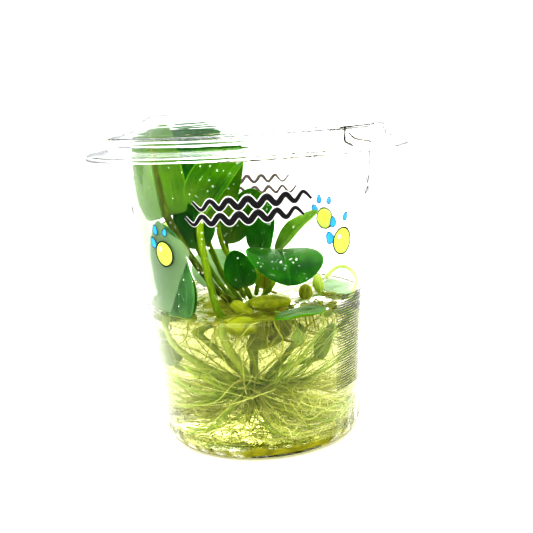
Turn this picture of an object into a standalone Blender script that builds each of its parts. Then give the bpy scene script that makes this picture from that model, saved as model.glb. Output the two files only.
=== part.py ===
"""Amazon frogbit crowded in a clear cup of water with a brimmed lid.

Metres, +Z up. The origin is on the cup's axis, on the surface that it stands on. The front is towards -Y.
Sizes and places below are in millimetres, and become metres where a mesh is made.
"""

import math

import bpy
import numpy as np

MM = 0.001
PART = "amazon_frogbit_in_cup"

# Cup
WALL = 0.6
GAP = 0.3
CUP_FOOT_R = 38.3
CUP_MOUTH_R = 45.5
CUP_WALL_TOP = 108.0
FOOT_CORNER_R = 5.5
STANDING_RING_WIDTH = 3.0
FLOOR_RISE = 3.2
RIM_R = 48.3
RIM_Z = 112.7
RIM_BEAD_R = 1.3

# Lid
BRIM_R = 59.0
BRIM_TOP = 110.6
BRIM_LIP_DROP = 3.1
BRIM_FALL = 1.5
CROWN_R = 50.6
CROWN_TOP = 114.9
CONE_FOOT_R = 46.6
PLATEAU_R = 35.6
LID_TOP = 121.8

# Water
WATER_LEVEL = 51.4
POCKET_TOP_R = 39.4
POCKET_FOOT_R = 36.2
POCKET_FLOOR = 6.6
POCKET_CORNER = 3.0

# Facets
ROUND_STEPS = 32
RING_POINTS = 8
BLADE_RINGS = 8
STALK_RINGS = 5
RUNNER_POINTS = 6
RUNNER_RINGS = 8
BUNCH_POINTS = 6
BUNCH_RINGS = 7
BUD_SIDES = 9
BUD_RINGS = 6

# Colours, as red, green and blue with the surface's roughness
LOOKS = {
    "clear_plastic": ((0.93, 0.96, 0.95), 0.06),
    "pond_water": ((0.78, 0.83, 0.50), 0.03),
    "leaf_dark": ((0.035, 0.150, 0.020), 0.34),
    "leaf_mid": ((0.080, 0.270, 0.020), 0.36),
    "leaf_bright": ((0.170, 0.400, 0.030), 0.38),
    "leaf_pale": ((0.420, 0.580, 0.280), 0.50),
    "leaf_yellowed": ((0.480, 0.450, 0.030), 0.42),
    "leaf_olive": ((0.230, 0.210, 0.020), 0.45),
    "crown_green": ((0.300, 0.430, 0.070), 0.45),
    "runner_green": ((0.480, 0.640, 0.200), 0.40),
    "root_pale": ((0.620, 0.700, 0.330), 0.55),
}


# Curves through points


def vec(*numbers):
    return np.array(numbers, float)


def unit(direction):
    return direction / np.linalg.norm(direction)


def through(points, count):
    """count points, evenly spread, on a smooth curve through the given points."""
    given = np.array([2 * points[0] - points[1], *points, 2 * points[-1] - points[-2]], float)
    spans = len(points) - 1
    fine = []
    for place in np.linspace(0, spans, 24 * spans + 1):
        span = min(int(place), spans - 1)
        a, b, c, d = given[span : span + 4]
        t = place - span
        square, cube = 2 * a - 5 * b + 4 * c - d, 3 * b - a - 3 * c + d
        fine.append(0.5 * (2 * b + (c - a) * t + square * t**2 + cube * t**3))
    fine = np.array(fine)
    along = np.concatenate([[0], np.cumsum(np.linalg.norm(np.diff(fine, axis=0), axis=1))])
    wanted = np.linspace(0, along[-1], count)
    return np.stack([np.interp(wanted, along, fine[:, axis]) for axis in range(3)], -1)


def directions(points):
    """The curve's unit direction at each of its points."""
    steps = np.gradient(points, axis=0)
    return steps / np.linalg.norm(steps, axis=1)[:, None]


# Short stems that leaves, runners and roots grow from

CROWNS = {
    "crown_sunken": dict(centre=vec(-2.3, -8, 21), radii=vec(4.8, 4.2, 3.6)),
    "crown_floating": dict(centre=vec(-1, -11, 49.5), radii=vec(4.4, 4.0, 3.4)),
    "crown_right": dict(centre=vec(18, -9, 48.5), radii=vec(3.6, 3.4, 3.0)),
}


def on_crown(crown, azimuth, rise, clear=GAP):
    """A point just off a crown, azimuth degrees from +X and rise degrees above level."""
    a, e = math.radians(azimuth), math.radians(rise)
    outward = vec(math.cos(e) * math.cos(a), math.cos(e) * math.sin(a), math.sin(e))
    shape = CROWNS[crown]
    reach = 1 / np.linalg.norm(outward / shape["radii"])
    return shape["centre"] + outward * (reach + clear)


# Leaves: stalk is the route from its crown to the blade's foot; blade runs from foot to tip

LEAVES = {
    "leaf_under_lid": dict(
        look="leaf_bright",
        stalk=[
            on_crown("crown_floating", 215, 30, 1.2), vec(-12.0, -14.4, 55.8),
            vec(-19.6, -16.4, 66.6), vec(-25.8, -18.0, 78.2),
        ],
        blade=(vec(-29.2, -18.2, 87.0), vec(-33.6, -13.2, 117.0)),
        face=vec(0.67, 0.74, 0.0),
        width=27.8, cup=1.2, lobe=0.8, arch=-0.6, stalk_r=1.35, blunt=0.13, skew=0.14,
    ),
    "leaf_tall_front": dict(
        look="leaf_mid",
        stalk=[
            on_crown("crown_sunken", 245, 45, 1.2), vec(-5.8, -17.0, 31.0), vec(-10.2, -23.4, 42.0),
            vec(-14.2, -27.4, 57.0), vec(-16.8, -28.9, 74.8), vec(-17.4, -29.1, 84.0),
        ],
        blade=(vec(-15.6, -29.0, 89.6), vec(0.4, -20.6, 108.8)),
        face=vec(0.12, -0.93, 0.35),
        width=13.4, cup=1.4, lobe=3.4, arch=1.2, stalk_r=1.45, blunt=0.34, skew=-0.70,
    ),
    "leaf_tall_back": dict(
        look="leaf_bright",
        stalk=[
            on_crown("crown_floating", 190, 52, 1.2), vec(-5.9, -12.6, 58.4), vec(-7.9, -13.7, 67.9),
            vec(-10.9, -14.7, 74.8),
        ],
        blade=(vec(-12.4, -15.2, 83.0), vec(-3.6, -9.5, 112.5)),
        face=vec(-0.25, -0.95, 0.15),
        width=12.4, cup=1.0, lobe=0.6, arch=1.0, stalk_r=0.95, blunt=0.45,
    ),
    "leaf_mid_back": dict(
        look="leaf_mid",
        stalk=[on_crown("crown_floating", 110, 55, 1.2), vec(-9.6, -7.4, 59.4), vec(-9.6, -6.6, 69.0)],
        blade=(vec(-9.9, -6.2, 73.9), vec(3.0, -2.4, 92.2)),
        face=vec(-0.1, -0.95, 0.3),
        width=12.6, cup=1.0, lobe=0.4, arch=0.6, stalk_r=0.75, blunt=0.36, foot_taper=0.4, skew=-0.1,
    ),
    "leaf_centre": dict(
        look="leaf_dark",
        stalk=[on_crown("crown_floating", 60, 65, 1.2), vec(1.6, -10, 61)],
        blade=(vec(2.4, -10.5, 70), vec(6.8, -12, 89)),
        face=vec(-0.55, -0.80, 0.2),
        width=12.5, cup=0.6, fold=1.2, lobe=1.0, arch=0.8, stalk_r=0.9,
    ),
    "leaf_young_rolled": dict(
        look="leaf_mid",
        stalk=[on_crown("crown_floating", 20, 45, 1.2), vec(7.2, -9, 59)],
        blade=(vec(8.2, -10, 69.6), vec(24.2, -15, 85.2)),
        face=vec(-0.45, -0.55, 0.70),
        width=8.0, cup=0.4, fold=1.2, lobe=0.0, arch=1.4, stalk_r=0.9, blunt=0.6,
    ),
    "leaf_broad_front": dict(
        look="leaf_dark",
        stalk=[on_crown("crown_floating", 330, 45, 1.2), vec(6.4, -16.0, 60)],
        blade=(vec(9.4, -18.4, 72.4), vec(12.2, -38.4, 63.8)),
        face=vec(0.17, -0.36, 0.92),
        width=27.5, cup=1.6, lobe=1.0, arch=2.2, stalk_r=1.2, blunt=0.44,
    ),
    "leaf_small_dark": dict(
        look="leaf_dark",
        stalk=[on_crown("crown_floating", 265, 45, 1.2)],
        blade=(vec(-3.6, -18.5, 59.8), vec(-6.6, -22.5, 73.8)),
        face=vec(-0.15, -0.92, 0.3),
        width=11.5, cup=0.8, lobe=1.8, arch=0.6, stalk_r=0.9,
    ),
    "leaf_behind_stalk": dict(
        look="leaf_dark",
        stalk=[on_crown("crown_floating", 180, 15, 1.2), vec(-13.2, -11.2, 60)],
        blade=(vec(-20.2, -12.6, 73.5), vec(-21.4, -10.2, 98)),
        face=vec(0.15, -0.95, 0.2),
        width=15.5, cup=1.0, lobe=0.5, arch=0.8, stalk_r=1.0,
    ),
    "leaf_back_stalk": dict(
        look="leaf_dark",
        stalk=[on_crown("crown_floating", 140, 10, 1.2), vec(-12.6, -2.8, 62), vec(-18.8, -2.4, 80.0)],
        blade=(vec(-20.2, -2.2, 87.0), vec(-19.8, 3.2, 117.4)),
        face=vec(0.1, -0.95, 0.25),
        width=30, cup=1.0, lobe=0.8, arch=0.8, stalk_r=1.1, blunt=0.28,
    ),
    "leaf_left_wall": dict(
        look="leaf_pale",
        stalk=[
            on_crown("crown_sunken", 195, 40, 1.2), vec(-12.5, -12.5, 28.0), vec(-20.5, -14.0, 33.5),
            vec(-28, -15.0, 40.5),
        ],
        blade=(vec(-32.0, -17.9, 48.9), vec(-30.6, -27.0, 85.5)),
        face=vec(-0.82, -0.57, 0.0),
        width=31, cup=-4.2, lobe=0.0, arch=1.6, stalk_r=1.35, blunt=0.36,
    ),
    "leaf_left_inner": dict(
        look="leaf_mid",
        stalk=[on_crown("crown_sunken", 160, 60, 1.2), vec(-8.8, -9.2, 31), vec(-16.6, -12.4, 41.5)],
        blade=(vec(-25.4, -16.8, 49.6), vec(-27.4, -21.4, 77.6)),
        face=vec(-0.80, -0.60, 0.05),
        width=16.5, cup=-1.2, lobe=0.5, arch=0.4, stalk_r=1.1,
    ),
    "leaf_left_sunken": dict(
        look="leaf_mid",
        stalk=[on_crown("crown_sunken", 165, 15, 1.2), vec(-15.5, -5.6, 26)],
        blade=(vec(-25.5, -6.0, 30.0), vec(-35.2, -7.5, 44.5)),
        face=vec(-0.45, -0.72, 0.45),
        width=11, cup=-0.8, lobe=1.0, arch=0.4, stalk_r=0.9,
    ),
    "leaf_floating_right": dict(
        look="leaf_mid",
        stalk=[],
        blade=(vec(24.2, -26.3, 52.3), vec(6.5, -38.0, 52.3)),
        face=vec(0.0, -0.05, 1.0),
        width=10, cup=0.3, lobe=0.0, arch=0.2, stalk_r=0.6,
    ),
    "leaf_right_sunken": dict(
        look="leaf_yellowed",
        stalk=[on_crown("crown_sunken", 330, 40, 1.2), vec(7.5, -11, 29)],
        blade=(vec(18.4, -14.0, 31.5), vec(25.0, -18.4, 45.0)),
        face=vec(-0.35, -0.85, 0.2),
        width=7, cup=0.6, lobe=0.0, arch=1.4, stalk_r=1.0,
    ),
    "leaf_front_sunken": dict(
        look="leaf_mid",
        stalk=[],
        blade=(vec(13.0, -29.4, 40.8), vec(13.8, -30.4, 46.8)),
        face=vec(0.1, -0.95, 0.2),
        width=5.0, cup=0.4, lobe=0.0, arch=0.3, stalk_r=0.6,
    ),
    "leaf_back_left": dict(
        look="leaf_pale",
        stalk=[on_crown("crown_floating", 120, 0, 1.2), vec(-9, 8, 49.5)],
        blade=(vec(-11.5, 18.5, 53.2), vec(-22.5, 27.5, 65.0)),
        face=vec(0.35, -0.75, 0.6),
        width=23, cup=0.8, lobe=1.0, arch=0.5, stalk_r=0.9,
    ),
    "leaf_back_right": dict(
        look="leaf_pale",
        stalk=[on_crown("crown_right", 45, 30, 1.2)],
        blade=(vec(27.0, -3.2, 52.5), vec(38.6, 2.0, 53.0)),
        face=vec(0.0, -0.1, 1.0),
        width=17.0, cup=0.6, lobe=1.0, arch=0.4, stalk_r=0.8,
    ),
    "old_leaf_left": dict(
        look="leaf_olive",
        stalk=[on_crown("crown_floating", 200, 0, 1.2)],
        blade=(vec(-8.6, -15.8, 52.0), vec(-19.4, -17.0, 52.8)),
        face=vec(0.0, -0.15, 0.98),
        width=8.4, cup=0.3, lobe=0.0, arch=0.3, stalk_r=0.8,
    ),
    "old_leaf_centre": dict(
        look="leaf_olive",
        stalk=[on_crown("crown_floating", 35, 25, 1.2)],
        blade=(vec(3.5, -4.5, 55.2), vec(3.6, -2.0, 65.5)),
        face=vec(-0.1, -0.9, 0.4),
        width=8.5, cup=0.6, lobe=0.5, arch=0.5, stalk_r=0.8,
    ),
    "old_leaf_sunken": dict(
        look="leaf_olive",
        stalk=[on_crown("crown_sunken", 290, 55, 1.2), vec(-1.5, -14.0, 31.0)],
        blade=(vec(-3.4, -17.6, 39.0), vec(10.6, -20.0, 44.0)),
        face=vec(0.10, -0.70, 0.70),
        width=8.0, cup=0.5, lobe=0.6, arch=0.5, stalk_r=0.8,
    ),
}


def blade_lines(leaf, steps):
    """The midrib's points, with the direction along, to the side and up at each."""
    foot, tip = leaf["blade"]
    face = unit(leaf["face"])
    middle = (foot + tip) / 2 + 2 * leaf["arch"] * face
    points, alongs, sides, ups = [], [], [], []
    for t in steps:
        points.append((1 - t) ** 2 * foot + 2 * t * (1 - t) * middle + t * t * tip)
        along = unit((1 - t) * (middle - foot) + t * (tip - middle))
        side = unit(np.cross(along, face))
        alongs.append(along)
        sides.append(side)
        ups.append(np.cross(side, along))
    return np.array(points), np.array(alongs), np.array(sides), np.array(ups)


def blade_width(leaf, t):
    """Half the blade's width at t, from 0 at its foot to 1 at its tip."""
    power = leaf.get("blunt", 0.55) + leaf.get("foot_taper", 0) * (1 - t) ** 2
    return leaf["width"] / 2 * math.sin(math.pi * t**0.8) ** power


def leaf_rings(leaf, ring_points=RING_POINTS, blade_rings=BLADE_RINGS, stalk_rings=STALK_RINGS):
    """Closed rings of points from the stalk's foot to the blade's tip."""
    turn = 2 * np.pi * np.arange(ring_points) / ring_points
    across, over = np.cos(turn), np.sin(turn)
    steps = (1 - np.cos(np.pi * np.arange(blade_rings + 1) / blade_rings)) / 2
    points, alongs, sides, ups = blade_lines(leaf, steps)
    rings = []
    for i, t in enumerate(steps):
        half = max(blade_width(leaf, min(t, 0.999)), leaf["stalk_r"] * (1 - t) + 0.25 * t)
        share = half / (leaf["width"] / 2)
        thick = leaf["stalk_r"] * (1 - t) ** 3 + 0.42 * (1 - (1 - t) ** 3) * (1 - 0.4 * t)
        lift = (leaf["cup"] * across**2 + leaf.get("fold", 0) * np.abs(across)) * share
        back = leaf["lobe"] * across**2 * share * (1 - t) ** 2
        reach = half * across * (1 + leaf.get("skew", 0) * np.sign(across))
        rings.append(
            points[i]
            + np.outer(reach, sides[i])
            + np.outer(thick * over + lift, ups[i])
            - np.outer(back, alongs[i])
        )
    if leaf["stalk"]:
        route = through([*leaf["stalk"], leaf["blade"][0]], stalk_rings + 1)
        lead = directions(np.vstack([route, points[:1] + alongs[:1] * 0.5]))
        side = sides[0]
        stalk = []
        for centre, along in zip(route[:-1][::-1], lead[:stalk_rings][::-1]):
            side = unit(side - along * (side @ along))
            up = np.cross(side, along)
            radius = leaf["stalk_r"]
            stalk.append(centre + radius * (np.outer(across, side) + np.outer(over, up)))
        rings = stalk[::-1] + rings
    return rings


# Swollen, yellowed leaves and buds at the water's surface: middle, half sizes along and across, direction

SWOLLEN = {
    "swollen_leaf_front": dict(
        look="leaf_yellowed",
        centre=vec(-5.2, -31.5, 48.9), sizes=(6.4, 4.0, 3.2), along=vec(1, -0.1, -0.05),
    ),
    "swollen_leaf_left": dict(
        look="leaf_yellowed",
        centre=vec(-5.0, -23.7, 52.2), sizes=(4.8, 3.0, 2.8), along=vec(0.8, -0.2, -0.55),
    ),
    "swollen_leaf_middle": dict(
        look="leaf_yellowed",
        centre=vec(5.0, -21.6, 53.8), sizes=(7.8, 3.2, 3.1), along=vec(1, 0.15, -0.05),
    ),
    "bud_yellow": dict(
        look="leaf_yellowed",
        centre=vec(18.6, -13.0, 55.0), sizes=(2.9, 2.6, 2.7), along=vec(0.2, 0, 1),
    ),
    "bud_pale": dict(
        look="runner_green",
        centre=vec(23.6, -7.5, 56.4), sizes=(3.7, 2.1, 2.1), along=vec(-0.15, 0.1, 1),
    ),
    "bract_right": dict(
        look="leaf_olive",
        centre=vec(27.2, -12.0, 53.6), sizes=(2.9, 1.6, 0.9), along=vec(1, 0.1, -0.15),
    ),
}

# Runners and roots: route, radius at the start and at the end

RUNNERS = {
    "runner_loop": dict(
        look="runner_green",
        route=[
            vec(26.2, -6.5, 58.2), vec(30.6, -5.6, 61.8), vec(35.0, -6.0, 61.8), vec(38.0, -8.0, 57.6),
            vec(35.2, -10.5, 51.5), vec(30.0, -13.0, 45.5), vec(24.5, -12.0, 41.5),
        ],
        radii=(0.75, 0.7),
    ),
    "runner_right": dict(
        look="runner_green",
        route=[
            on_crown("crown_sunken", 10, 40, 1.0), vec(8.0, -6.0, 32.5),
            on_crown("crown_right", 215, -40, 1.0),
        ],
        radii=(1.1, 1.0),
    ),
    "runner_up": dict(
        look="runner_green",
        route=[
            on_crown("crown_sunken", 80, 65, 1.0), vec(-1.6, -5.6, 36.0),
            on_crown("crown_floating", 95, -55, 1.0),
        ],
        radii=(1.3, 1.2),
    ),
    "root_thick_left": dict(
        look="runner_green",
        route=[
            on_crown("crown_sunken", 232, -12, 1.0), vec(-10.5, -18.5, 15.0),
            vec(-17.5, -25.0, 9.8), vec(-27.0, -20.0, 8.4),
        ],
        radii=(1.1, 0.5),
    ),
    "root_bright_left": dict(
        look="runner_green",
        route=[
            on_crown("crown_sunken", 212, 8, 1.0), vec(-15.0, -17.5, 21.0),
            vec(-26.0, -20.5, 25.5), vec(-34.0, -13.5, 32.0),
        ],
        radii=(1.0, 0.45),
    ),
}

ROOT_BUNCHES = {
    "root_bunch_1": dict(
        start=(252, -30), route=[vec(-4, -19, 13.4), vec(-7, -27.5, 10), vec(-15, -29.5, 9.6)], width=2.8,
    ),
    "root_bunch_2": dict(
        start=(285, -22), route=[vec(2, -19, 15.5), vec(6, -28, 11.4), vec(16, -28, 10)], width=3.2,
    ),
    "root_bunch_3": dict(
        start=(318, 0), route=[vec(8, -17, 19.5), vec(18, -22.5, 17), vec(27.5, -17, 14)], width=3.4,
    ),
    "root_bunch_4": dict(
        start=(350, 5), route=[vec(11, -9, 21.5), vec(22, -8.5, 21), vec(31.5, 0, 24)], width=3.4,
    ),
    "root_bunch_5": dict(
        start=(25, -8), route=[vec(8, 0, 18.5), vec(18, 9, 15), vec(25.5, 17.5, 13.4)], width=3.4,
    ),
    "root_bunch_6": dict(
        start=(75, -10), route=[vec(0, 7, 18.5), vec(3, 18, 15), vec(-2, 29, 14)], width=3.4,
    ),
    "root_bunch_7": dict(
        start=(120, 0), route=[vec(-8, 4, 20.5), vec(-17, 13, 18), vec(-25, 19, 18)], width=3.2,
    ),
    "root_bunch_8": dict(
        start=(165, -22), route=[vec(-13, -3, 16.5), vec(-23, 1, 13), vec(-30, 7, 12)], width=3.0,
    ),
    "root_bunch_9": dict(
        start=(205, -38), route=[vec(-10, -10, 13), vec(-16, -10, 10.6), vec(-25, -10.5, 9.8)], width=2.4,
    ),
    "root_bunch_10": dict(
        start=(330, -50), route=[vec(5, -9.5, 12.5), vec(12, -8.5, 10.4), vec(22, -7, 9.8)], width=2.9,
    ),
}


def tube_rings(route, radii, ring_points, rings, flat=1.0):
    """Closed rings of points along a route, from the first radius to the last."""
    points = through(route, rings)
    side = np.array([0.3, 0.2, 1.0])
    made = []
    for centre, along, share in zip(points, directions(points), np.linspace(0, 1, rings)):
        side = unit(side - along * (side @ along))
        up = np.cross(side, along)
        radius = radii(share) if callable(radii) else radii[0] + (radii[1] - radii[0]) * share
        turn = 2 * np.pi * np.arange(ring_points) / ring_points
        made.append(centre + radius * (np.outer(np.cos(turn), side) + np.outer(np.sin(turn) * flat, up)))
    return made


def bunch_rings(bunch):
    """A bunch of roots leaves its crown narrow, swells where its strands part, and ends in its tips."""

    def radius(share):
        return 0.9 + (bunch["width"] - 0.9) * math.sin(math.pi * min(share, 0.97) ** 0.8) ** 0.8

    start = on_crown("crown_sunken", *bunch["start"], 1.3)
    return tube_rings([start, *bunch["route"]], radius, BUNCH_POINTS, BUNCH_RINGS, flat=0.6)


# Turned sections, as (radius, height) lists that run up the inside and down the outside


def cup_wall_r(z):
    """The wall's outer radius at height z."""
    return CUP_FOOT_R + (CUP_MOUTH_R - CUP_FOOT_R) * z / CUP_WALL_TOP


def arc(centre, radius, start, end, steps):
    """Points on an arc, angles in degrees from +radius."""
    return [
        (centre[0] + radius * math.cos(math.radians(a)), centre[1] + radius * math.sin(math.radians(a)))
        for a in np.linspace(start, end, steps)
    ]


def inset(line, amount):
    """The line moved to its left by amount, corners kept sharp."""
    line = np.array(line, float)
    steps = np.diff(line, axis=0)
    lefts = np.stack([-steps[:, 1], steps[:, 0]], -1) / np.linalg.norm(steps, axis=1)[:, None]
    moved = [line[0] + lefts[0] * amount]
    for before, after, corner in zip(lefts, lefts[1:], line[1:-1]):
        bisector = (before + after) / np.linalg.norm(before + after)
        moved.append(corner + bisector * amount / (bisector @ after))
    moved.append(line[-1] + lefts[-1] * amount)
    return [tuple(point) for point in moved]


def cup_outer_line():
    """From the middle of the floor's underside, out round the foot and up the wall."""
    corner_r = cup_wall_r(FOOT_CORNER_R) - FOOT_CORNER_R
    ring_inner = corner_r - STANDING_RING_WIDTH
    return [
        (0, FLOOR_RISE),
        (ring_inner - 4.2, FLOOR_RISE - 0.5),
        (ring_inner, 0),
        *arc((corner_r, FOOT_CORNER_R), FOOT_CORNER_R, -90, 0, 4),
        (CUP_MOUTH_R, CUP_WALL_TOP),
    ]


def cup_section():
    rim_outer = arc((RIM_R, RIM_Z), RIM_BEAD_R, 180, -50, 6)
    outer = cup_outer_line()
    inner = inset(outer, WALL)
    inner[0] = (0, inner[0][1])
    curl = arc((RIM_R, RIM_Z), RIM_BEAD_R - WALL, -50, 180, 4)
    return [*inner, *rim_outer, *curl, *outer[::-1]]


def lid_outer_line():
    """From the brim's lip up and in to the middle of the plateau."""
    return [
        (BRIM_R, BRIM_TOP - BRIM_LIP_DROP),
        (BRIM_R, BRIM_TOP - BRIM_FALL - 0.5),
        (BRIM_R - 0.6, BRIM_TOP - BRIM_FALL),
        (CROWN_R + 1.4, BRIM_TOP),
        (CROWN_R + 0.7, BRIM_TOP + 0.6),
        (CROWN_R, CROWN_TOP - 0.7),
        (CROWN_R - 0.8, CROWN_TOP),
        (CONE_FOOT_R, CROWN_TOP),
        (PLATEAU_R, LID_TOP - 0.6),
        (PLATEAU_R - 2.1, LID_TOP),
        (0, LID_TOP),
    ]


def lid_section():
    outer = lid_outer_line()
    inner = inset(outer, WALL)
    inner[-1] = (0, inner[-1][1])
    return [*outer[::-1], *inner]


def water_section():
    """Water as a solid with a pocket, open at its surface, for what stands in it."""
    bed = inset(cup_outer_line(), WALL + GAP)
    bed[0] = (0, bed[0][1])
    wall_top = cup_wall_r(WATER_LEVEL) - WALL - GAP
    pocket = [
        (0, POCKET_FLOOR),
        (POCKET_FOOT_R - POCKET_CORNER, POCKET_FLOOR),
        (POCKET_FOOT_R, POCKET_FLOOR + POCKET_CORNER),
        (POCKET_TOP_R, WATER_LEVEL),
    ]
    return [*pocket, (wall_top, WATER_LEVEL), *bed[-2::-1]]


# Making the objects


def clear_scene():
    for leftover in list(bpy.data.objects):
        bpy.data.objects.remove(leftover)


def make_material(name):
    colour, roughness = LOOKS[name]
    made = bpy.data.materials.new(name)
    made.use_nodes = True
    shader = made.node_tree.nodes["Principled BSDF"]
    shader.inputs["Base Color"].default_value = (*colour, 1)
    shader.inputs["Roughness"].default_value = roughness
    shader.inputs["Metallic"].default_value = 0
    if name == "clear_plastic":
        shader.inputs["Transmission Weight"].default_value = 1
        shader.inputs["IOR"].default_value = 1.57
    if name == "pond_water":
        shader.inputs["Transmission Weight"].default_value = 1
        shader.inputs["IOR"].default_value = 1.33
    return made


def adopt(made, look):
    """Puts an object in the part's collection alone, with its material."""
    for collection in list(made.users_collection):
        collection.objects.unlink(made)
    bpy.data.collections[PART].objects.link(made)
    made.data.materials.append(bpy.data.materials.get(look) or make_material(look))


def add_object(name, mesh, look):
    made = bpy.data.objects.new(name, mesh)
    adopt(made, look)
    return made


def turned(name, section, look):
    """Turns an open section, whose two ends lie on the axis, into a closed solid."""
    mesh = bpy.data.meshes.new(name)
    points = [(r * MM, 0, z * MM) for r, z in section]
    mesh.from_pydata(points, [(i, i + 1) for i in range(len(points) - 1)], [])
    made = add_object(name, mesh, look)
    screw = made.modifiers.new("Turn", "SCREW")
    screw.steps = screw.render_steps = ROUND_STEPS
    screw.use_merge_vertices = True
    screw.merge_threshold = 0.00001
    screw.use_smooth_shade = True
    return made


def lofted(name, rings, look):
    """Skins closed rings, first to last, and closes both ends."""
    count = len(rings[0])
    faces = [tuple(range(count))]
    for low in range(0, count * (len(rings) - 1), count):
        for i in range(count):
            j = (i + 1) % count
            faces.append((low + i, low + count + i, low + count + j, low + j))
    last = count * (len(rings) - 1)
    faces.append(tuple(reversed(range(last, last + count))))
    mesh = bpy.data.meshes.new(name)
    mesh.from_pydata([tuple(point * MM) for point in np.vstack(rings)], [], faces)
    mesh.shade_smooth()
    return add_object(name, mesh, look)


def swollen(name, shape):
    """A swollen leaf or bud: a sphere drawn out along its length and pinched at its ends."""
    bpy.ops.mesh.primitive_uv_sphere_add(segments=BUD_SIDES, ring_count=BUD_RINGS, radius=1)
    made = bpy.context.active_object
    made.name = made.data.name = name
    along = unit(shape["along"])
    side = unit(np.cross(vec(0, 0.3, 1), along))
    up = np.cross(along, side)
    length, width, height = shape["sizes"]
    for vertex in made.data.vertices:
        x, y, z = vertex.co
        pinch = 1 - 0.18 * z * z
        place = shape["centre"] + along * z * length + side * x * width * pinch + up * y * height * pinch
        vertex.co = place * MM
    made.data.shade_smooth()
    adopt(made, shape["look"])


def crown(name, shape):
    """A short knobbly stem."""
    bpy.ops.mesh.primitive_uv_sphere_add(segments=BUD_SIDES, ring_count=BUD_RINGS, radius=1)
    made = bpy.context.active_object
    made.name = made.data.name = name
    for vertex in made.data.vertices:
        x, y, z = vertex.co
        knob = 1 - 0.06 * (1 + math.sin(4 * math.atan2(y, x) + 3 * z))
        vertex.co = (shape["centre"] + shape["radii"] * vec(x, y, z) * knob) * MM
    made.data.shade_smooth()
    adopt(made, "crown_green")


def build():
    clear_scene()
    bpy.context.scene.collection.children.link(bpy.data.collections.new(PART))
    turned("cup", cup_section(), "clear_plastic")
    turned("lid", lid_section(), "clear_plastic")
    turned("water", water_section(), "pond_water")
    for name, shape in CROWNS.items():
        crown(name, shape)
    for name, leaf in LEAVES.items():
        lofted(name, leaf_rings(leaf), leaf["look"])
    for name, shape in SWOLLEN.items():
        swollen(name, shape)
    for name, runner in RUNNERS.items():
        rings = tube_rings(runner["route"], runner["radii"], RUNNER_POINTS, RUNNER_RINGS)
        lofted(name, rings, runner["look"])
    for name, bunch in ROOT_BUNCHES.items():
        lofted(name, bunch_rings(bunch), "root_pale")


build()
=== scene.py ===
"""Amazon frogbit crowded in a lidded clear cup of water: the looks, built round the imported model.

Places and sizes are in millimetres, and become metres where a mesh is made. The cup's axis is Z, and its
front is towards -Y. Heights are above the surface that the cup stands on.
"""

import math

import bpy
import numpy as np
from mathutils import Matrix, Vector


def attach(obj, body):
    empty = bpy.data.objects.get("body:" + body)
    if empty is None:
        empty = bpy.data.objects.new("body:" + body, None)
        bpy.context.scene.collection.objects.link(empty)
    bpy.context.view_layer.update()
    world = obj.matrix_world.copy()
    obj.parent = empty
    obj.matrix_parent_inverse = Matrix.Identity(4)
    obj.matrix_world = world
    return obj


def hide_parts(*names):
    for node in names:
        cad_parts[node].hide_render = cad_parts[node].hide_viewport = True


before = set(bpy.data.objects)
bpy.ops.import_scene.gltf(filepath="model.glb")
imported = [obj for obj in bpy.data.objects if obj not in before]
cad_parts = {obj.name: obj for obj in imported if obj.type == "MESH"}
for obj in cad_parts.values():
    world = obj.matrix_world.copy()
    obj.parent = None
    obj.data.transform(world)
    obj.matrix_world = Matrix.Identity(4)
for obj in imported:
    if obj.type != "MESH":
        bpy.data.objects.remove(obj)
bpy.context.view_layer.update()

MM = 0.001

# Cup
WALL = 0.6
CUP_FOOT_R = 38.3
CUP_MOUTH_R = 45.5
CUP_WALL_TOP = 108.0
FOOT_CORNER_R = 5.5
FOOT_FLUTES = 36
STANDING_RING_WIDTH = 3.0
FLOOR_RISE = 3.2
RIM_R = 48.3
RIM_Z = 112.7
RIM_BEAD_R = 1.3

# Lid
BRIM_R = 59.0
BRIM_TOP = 110.6
BRIM_LIP_DROP = 3.1
BRIM_FALL = 1.5
CROWN_R = 50.6
CROWN_TOP = 114.9
CONE_FOOT_R = 46.6
PLATEAU_R = 35.6
PLATEAU_DIP = 0.5
LID_TOP = 121.8

# Water
WATER_LEVEL = 51.4
WATER_GAP = 0.08
MENISCUS_RISE = 0.9
MENISCUS_REACH = 2.2

# Thin things
LEAF_THICKNESS = 0.5
INK_THICKNESS = 0.02

# Fog on the wall: its distance from it, its density, its heights, and its azimuths in degrees
FILM_GAP = 0.12
FOG_COVER = 0.62
FOG_FOOT = 53.5
FOG_TOP = 107.5
FOG_START = 146
FOG_SPAN = 79.4

# How finely round things are made
ROUND_STEPS = 144
BLADE_COLUMNS = 16
BLADE_ROWS = 30
STALK_SIDES = 12
STALK_ROWS = 36

rng = np.random.default_rng(7)


# Points and curves


def vec(*numbers):
    return np.array(numbers, float)


def unit(direction):
    return direction / np.linalg.norm(direction, axis=-1, keepdims=True)


def polar(r, turn, z):
    """The point or points at radius r, turned so far from +X, at height z."""
    return np.stack([r * np.cos(turn), r * np.sin(turn), z], -1)


def through(points, count):
    """count points, evenly spread, on a smooth curve through the given points."""
    given = np.array([2 * points[0] - points[1], *points, 2 * points[-1] - points[-2]], float)
    spans = len(points) - 1
    fine = []
    for place in np.linspace(0, spans, 24 * spans + 1):
        span = min(int(place), spans - 1)
        a, b, c, d = given[span : span + 4]
        t = place - span
        square, cube = 2 * a - 5 * b + 4 * c - d, 3 * b - a - 3 * c + d
        fine.append(0.5 * (2 * b + (c - a) * t + square * t**2 + cube * t**3))
    fine = np.array(fine)
    along = np.concatenate([[0], np.cumsum(np.linalg.norm(np.diff(fine, axis=0), axis=1))])
    wanted = np.linspace(0, along[-1], count)
    return np.stack([np.interp(wanted, along, fine[:, axis]) for axis in range(3)], -1)


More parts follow.
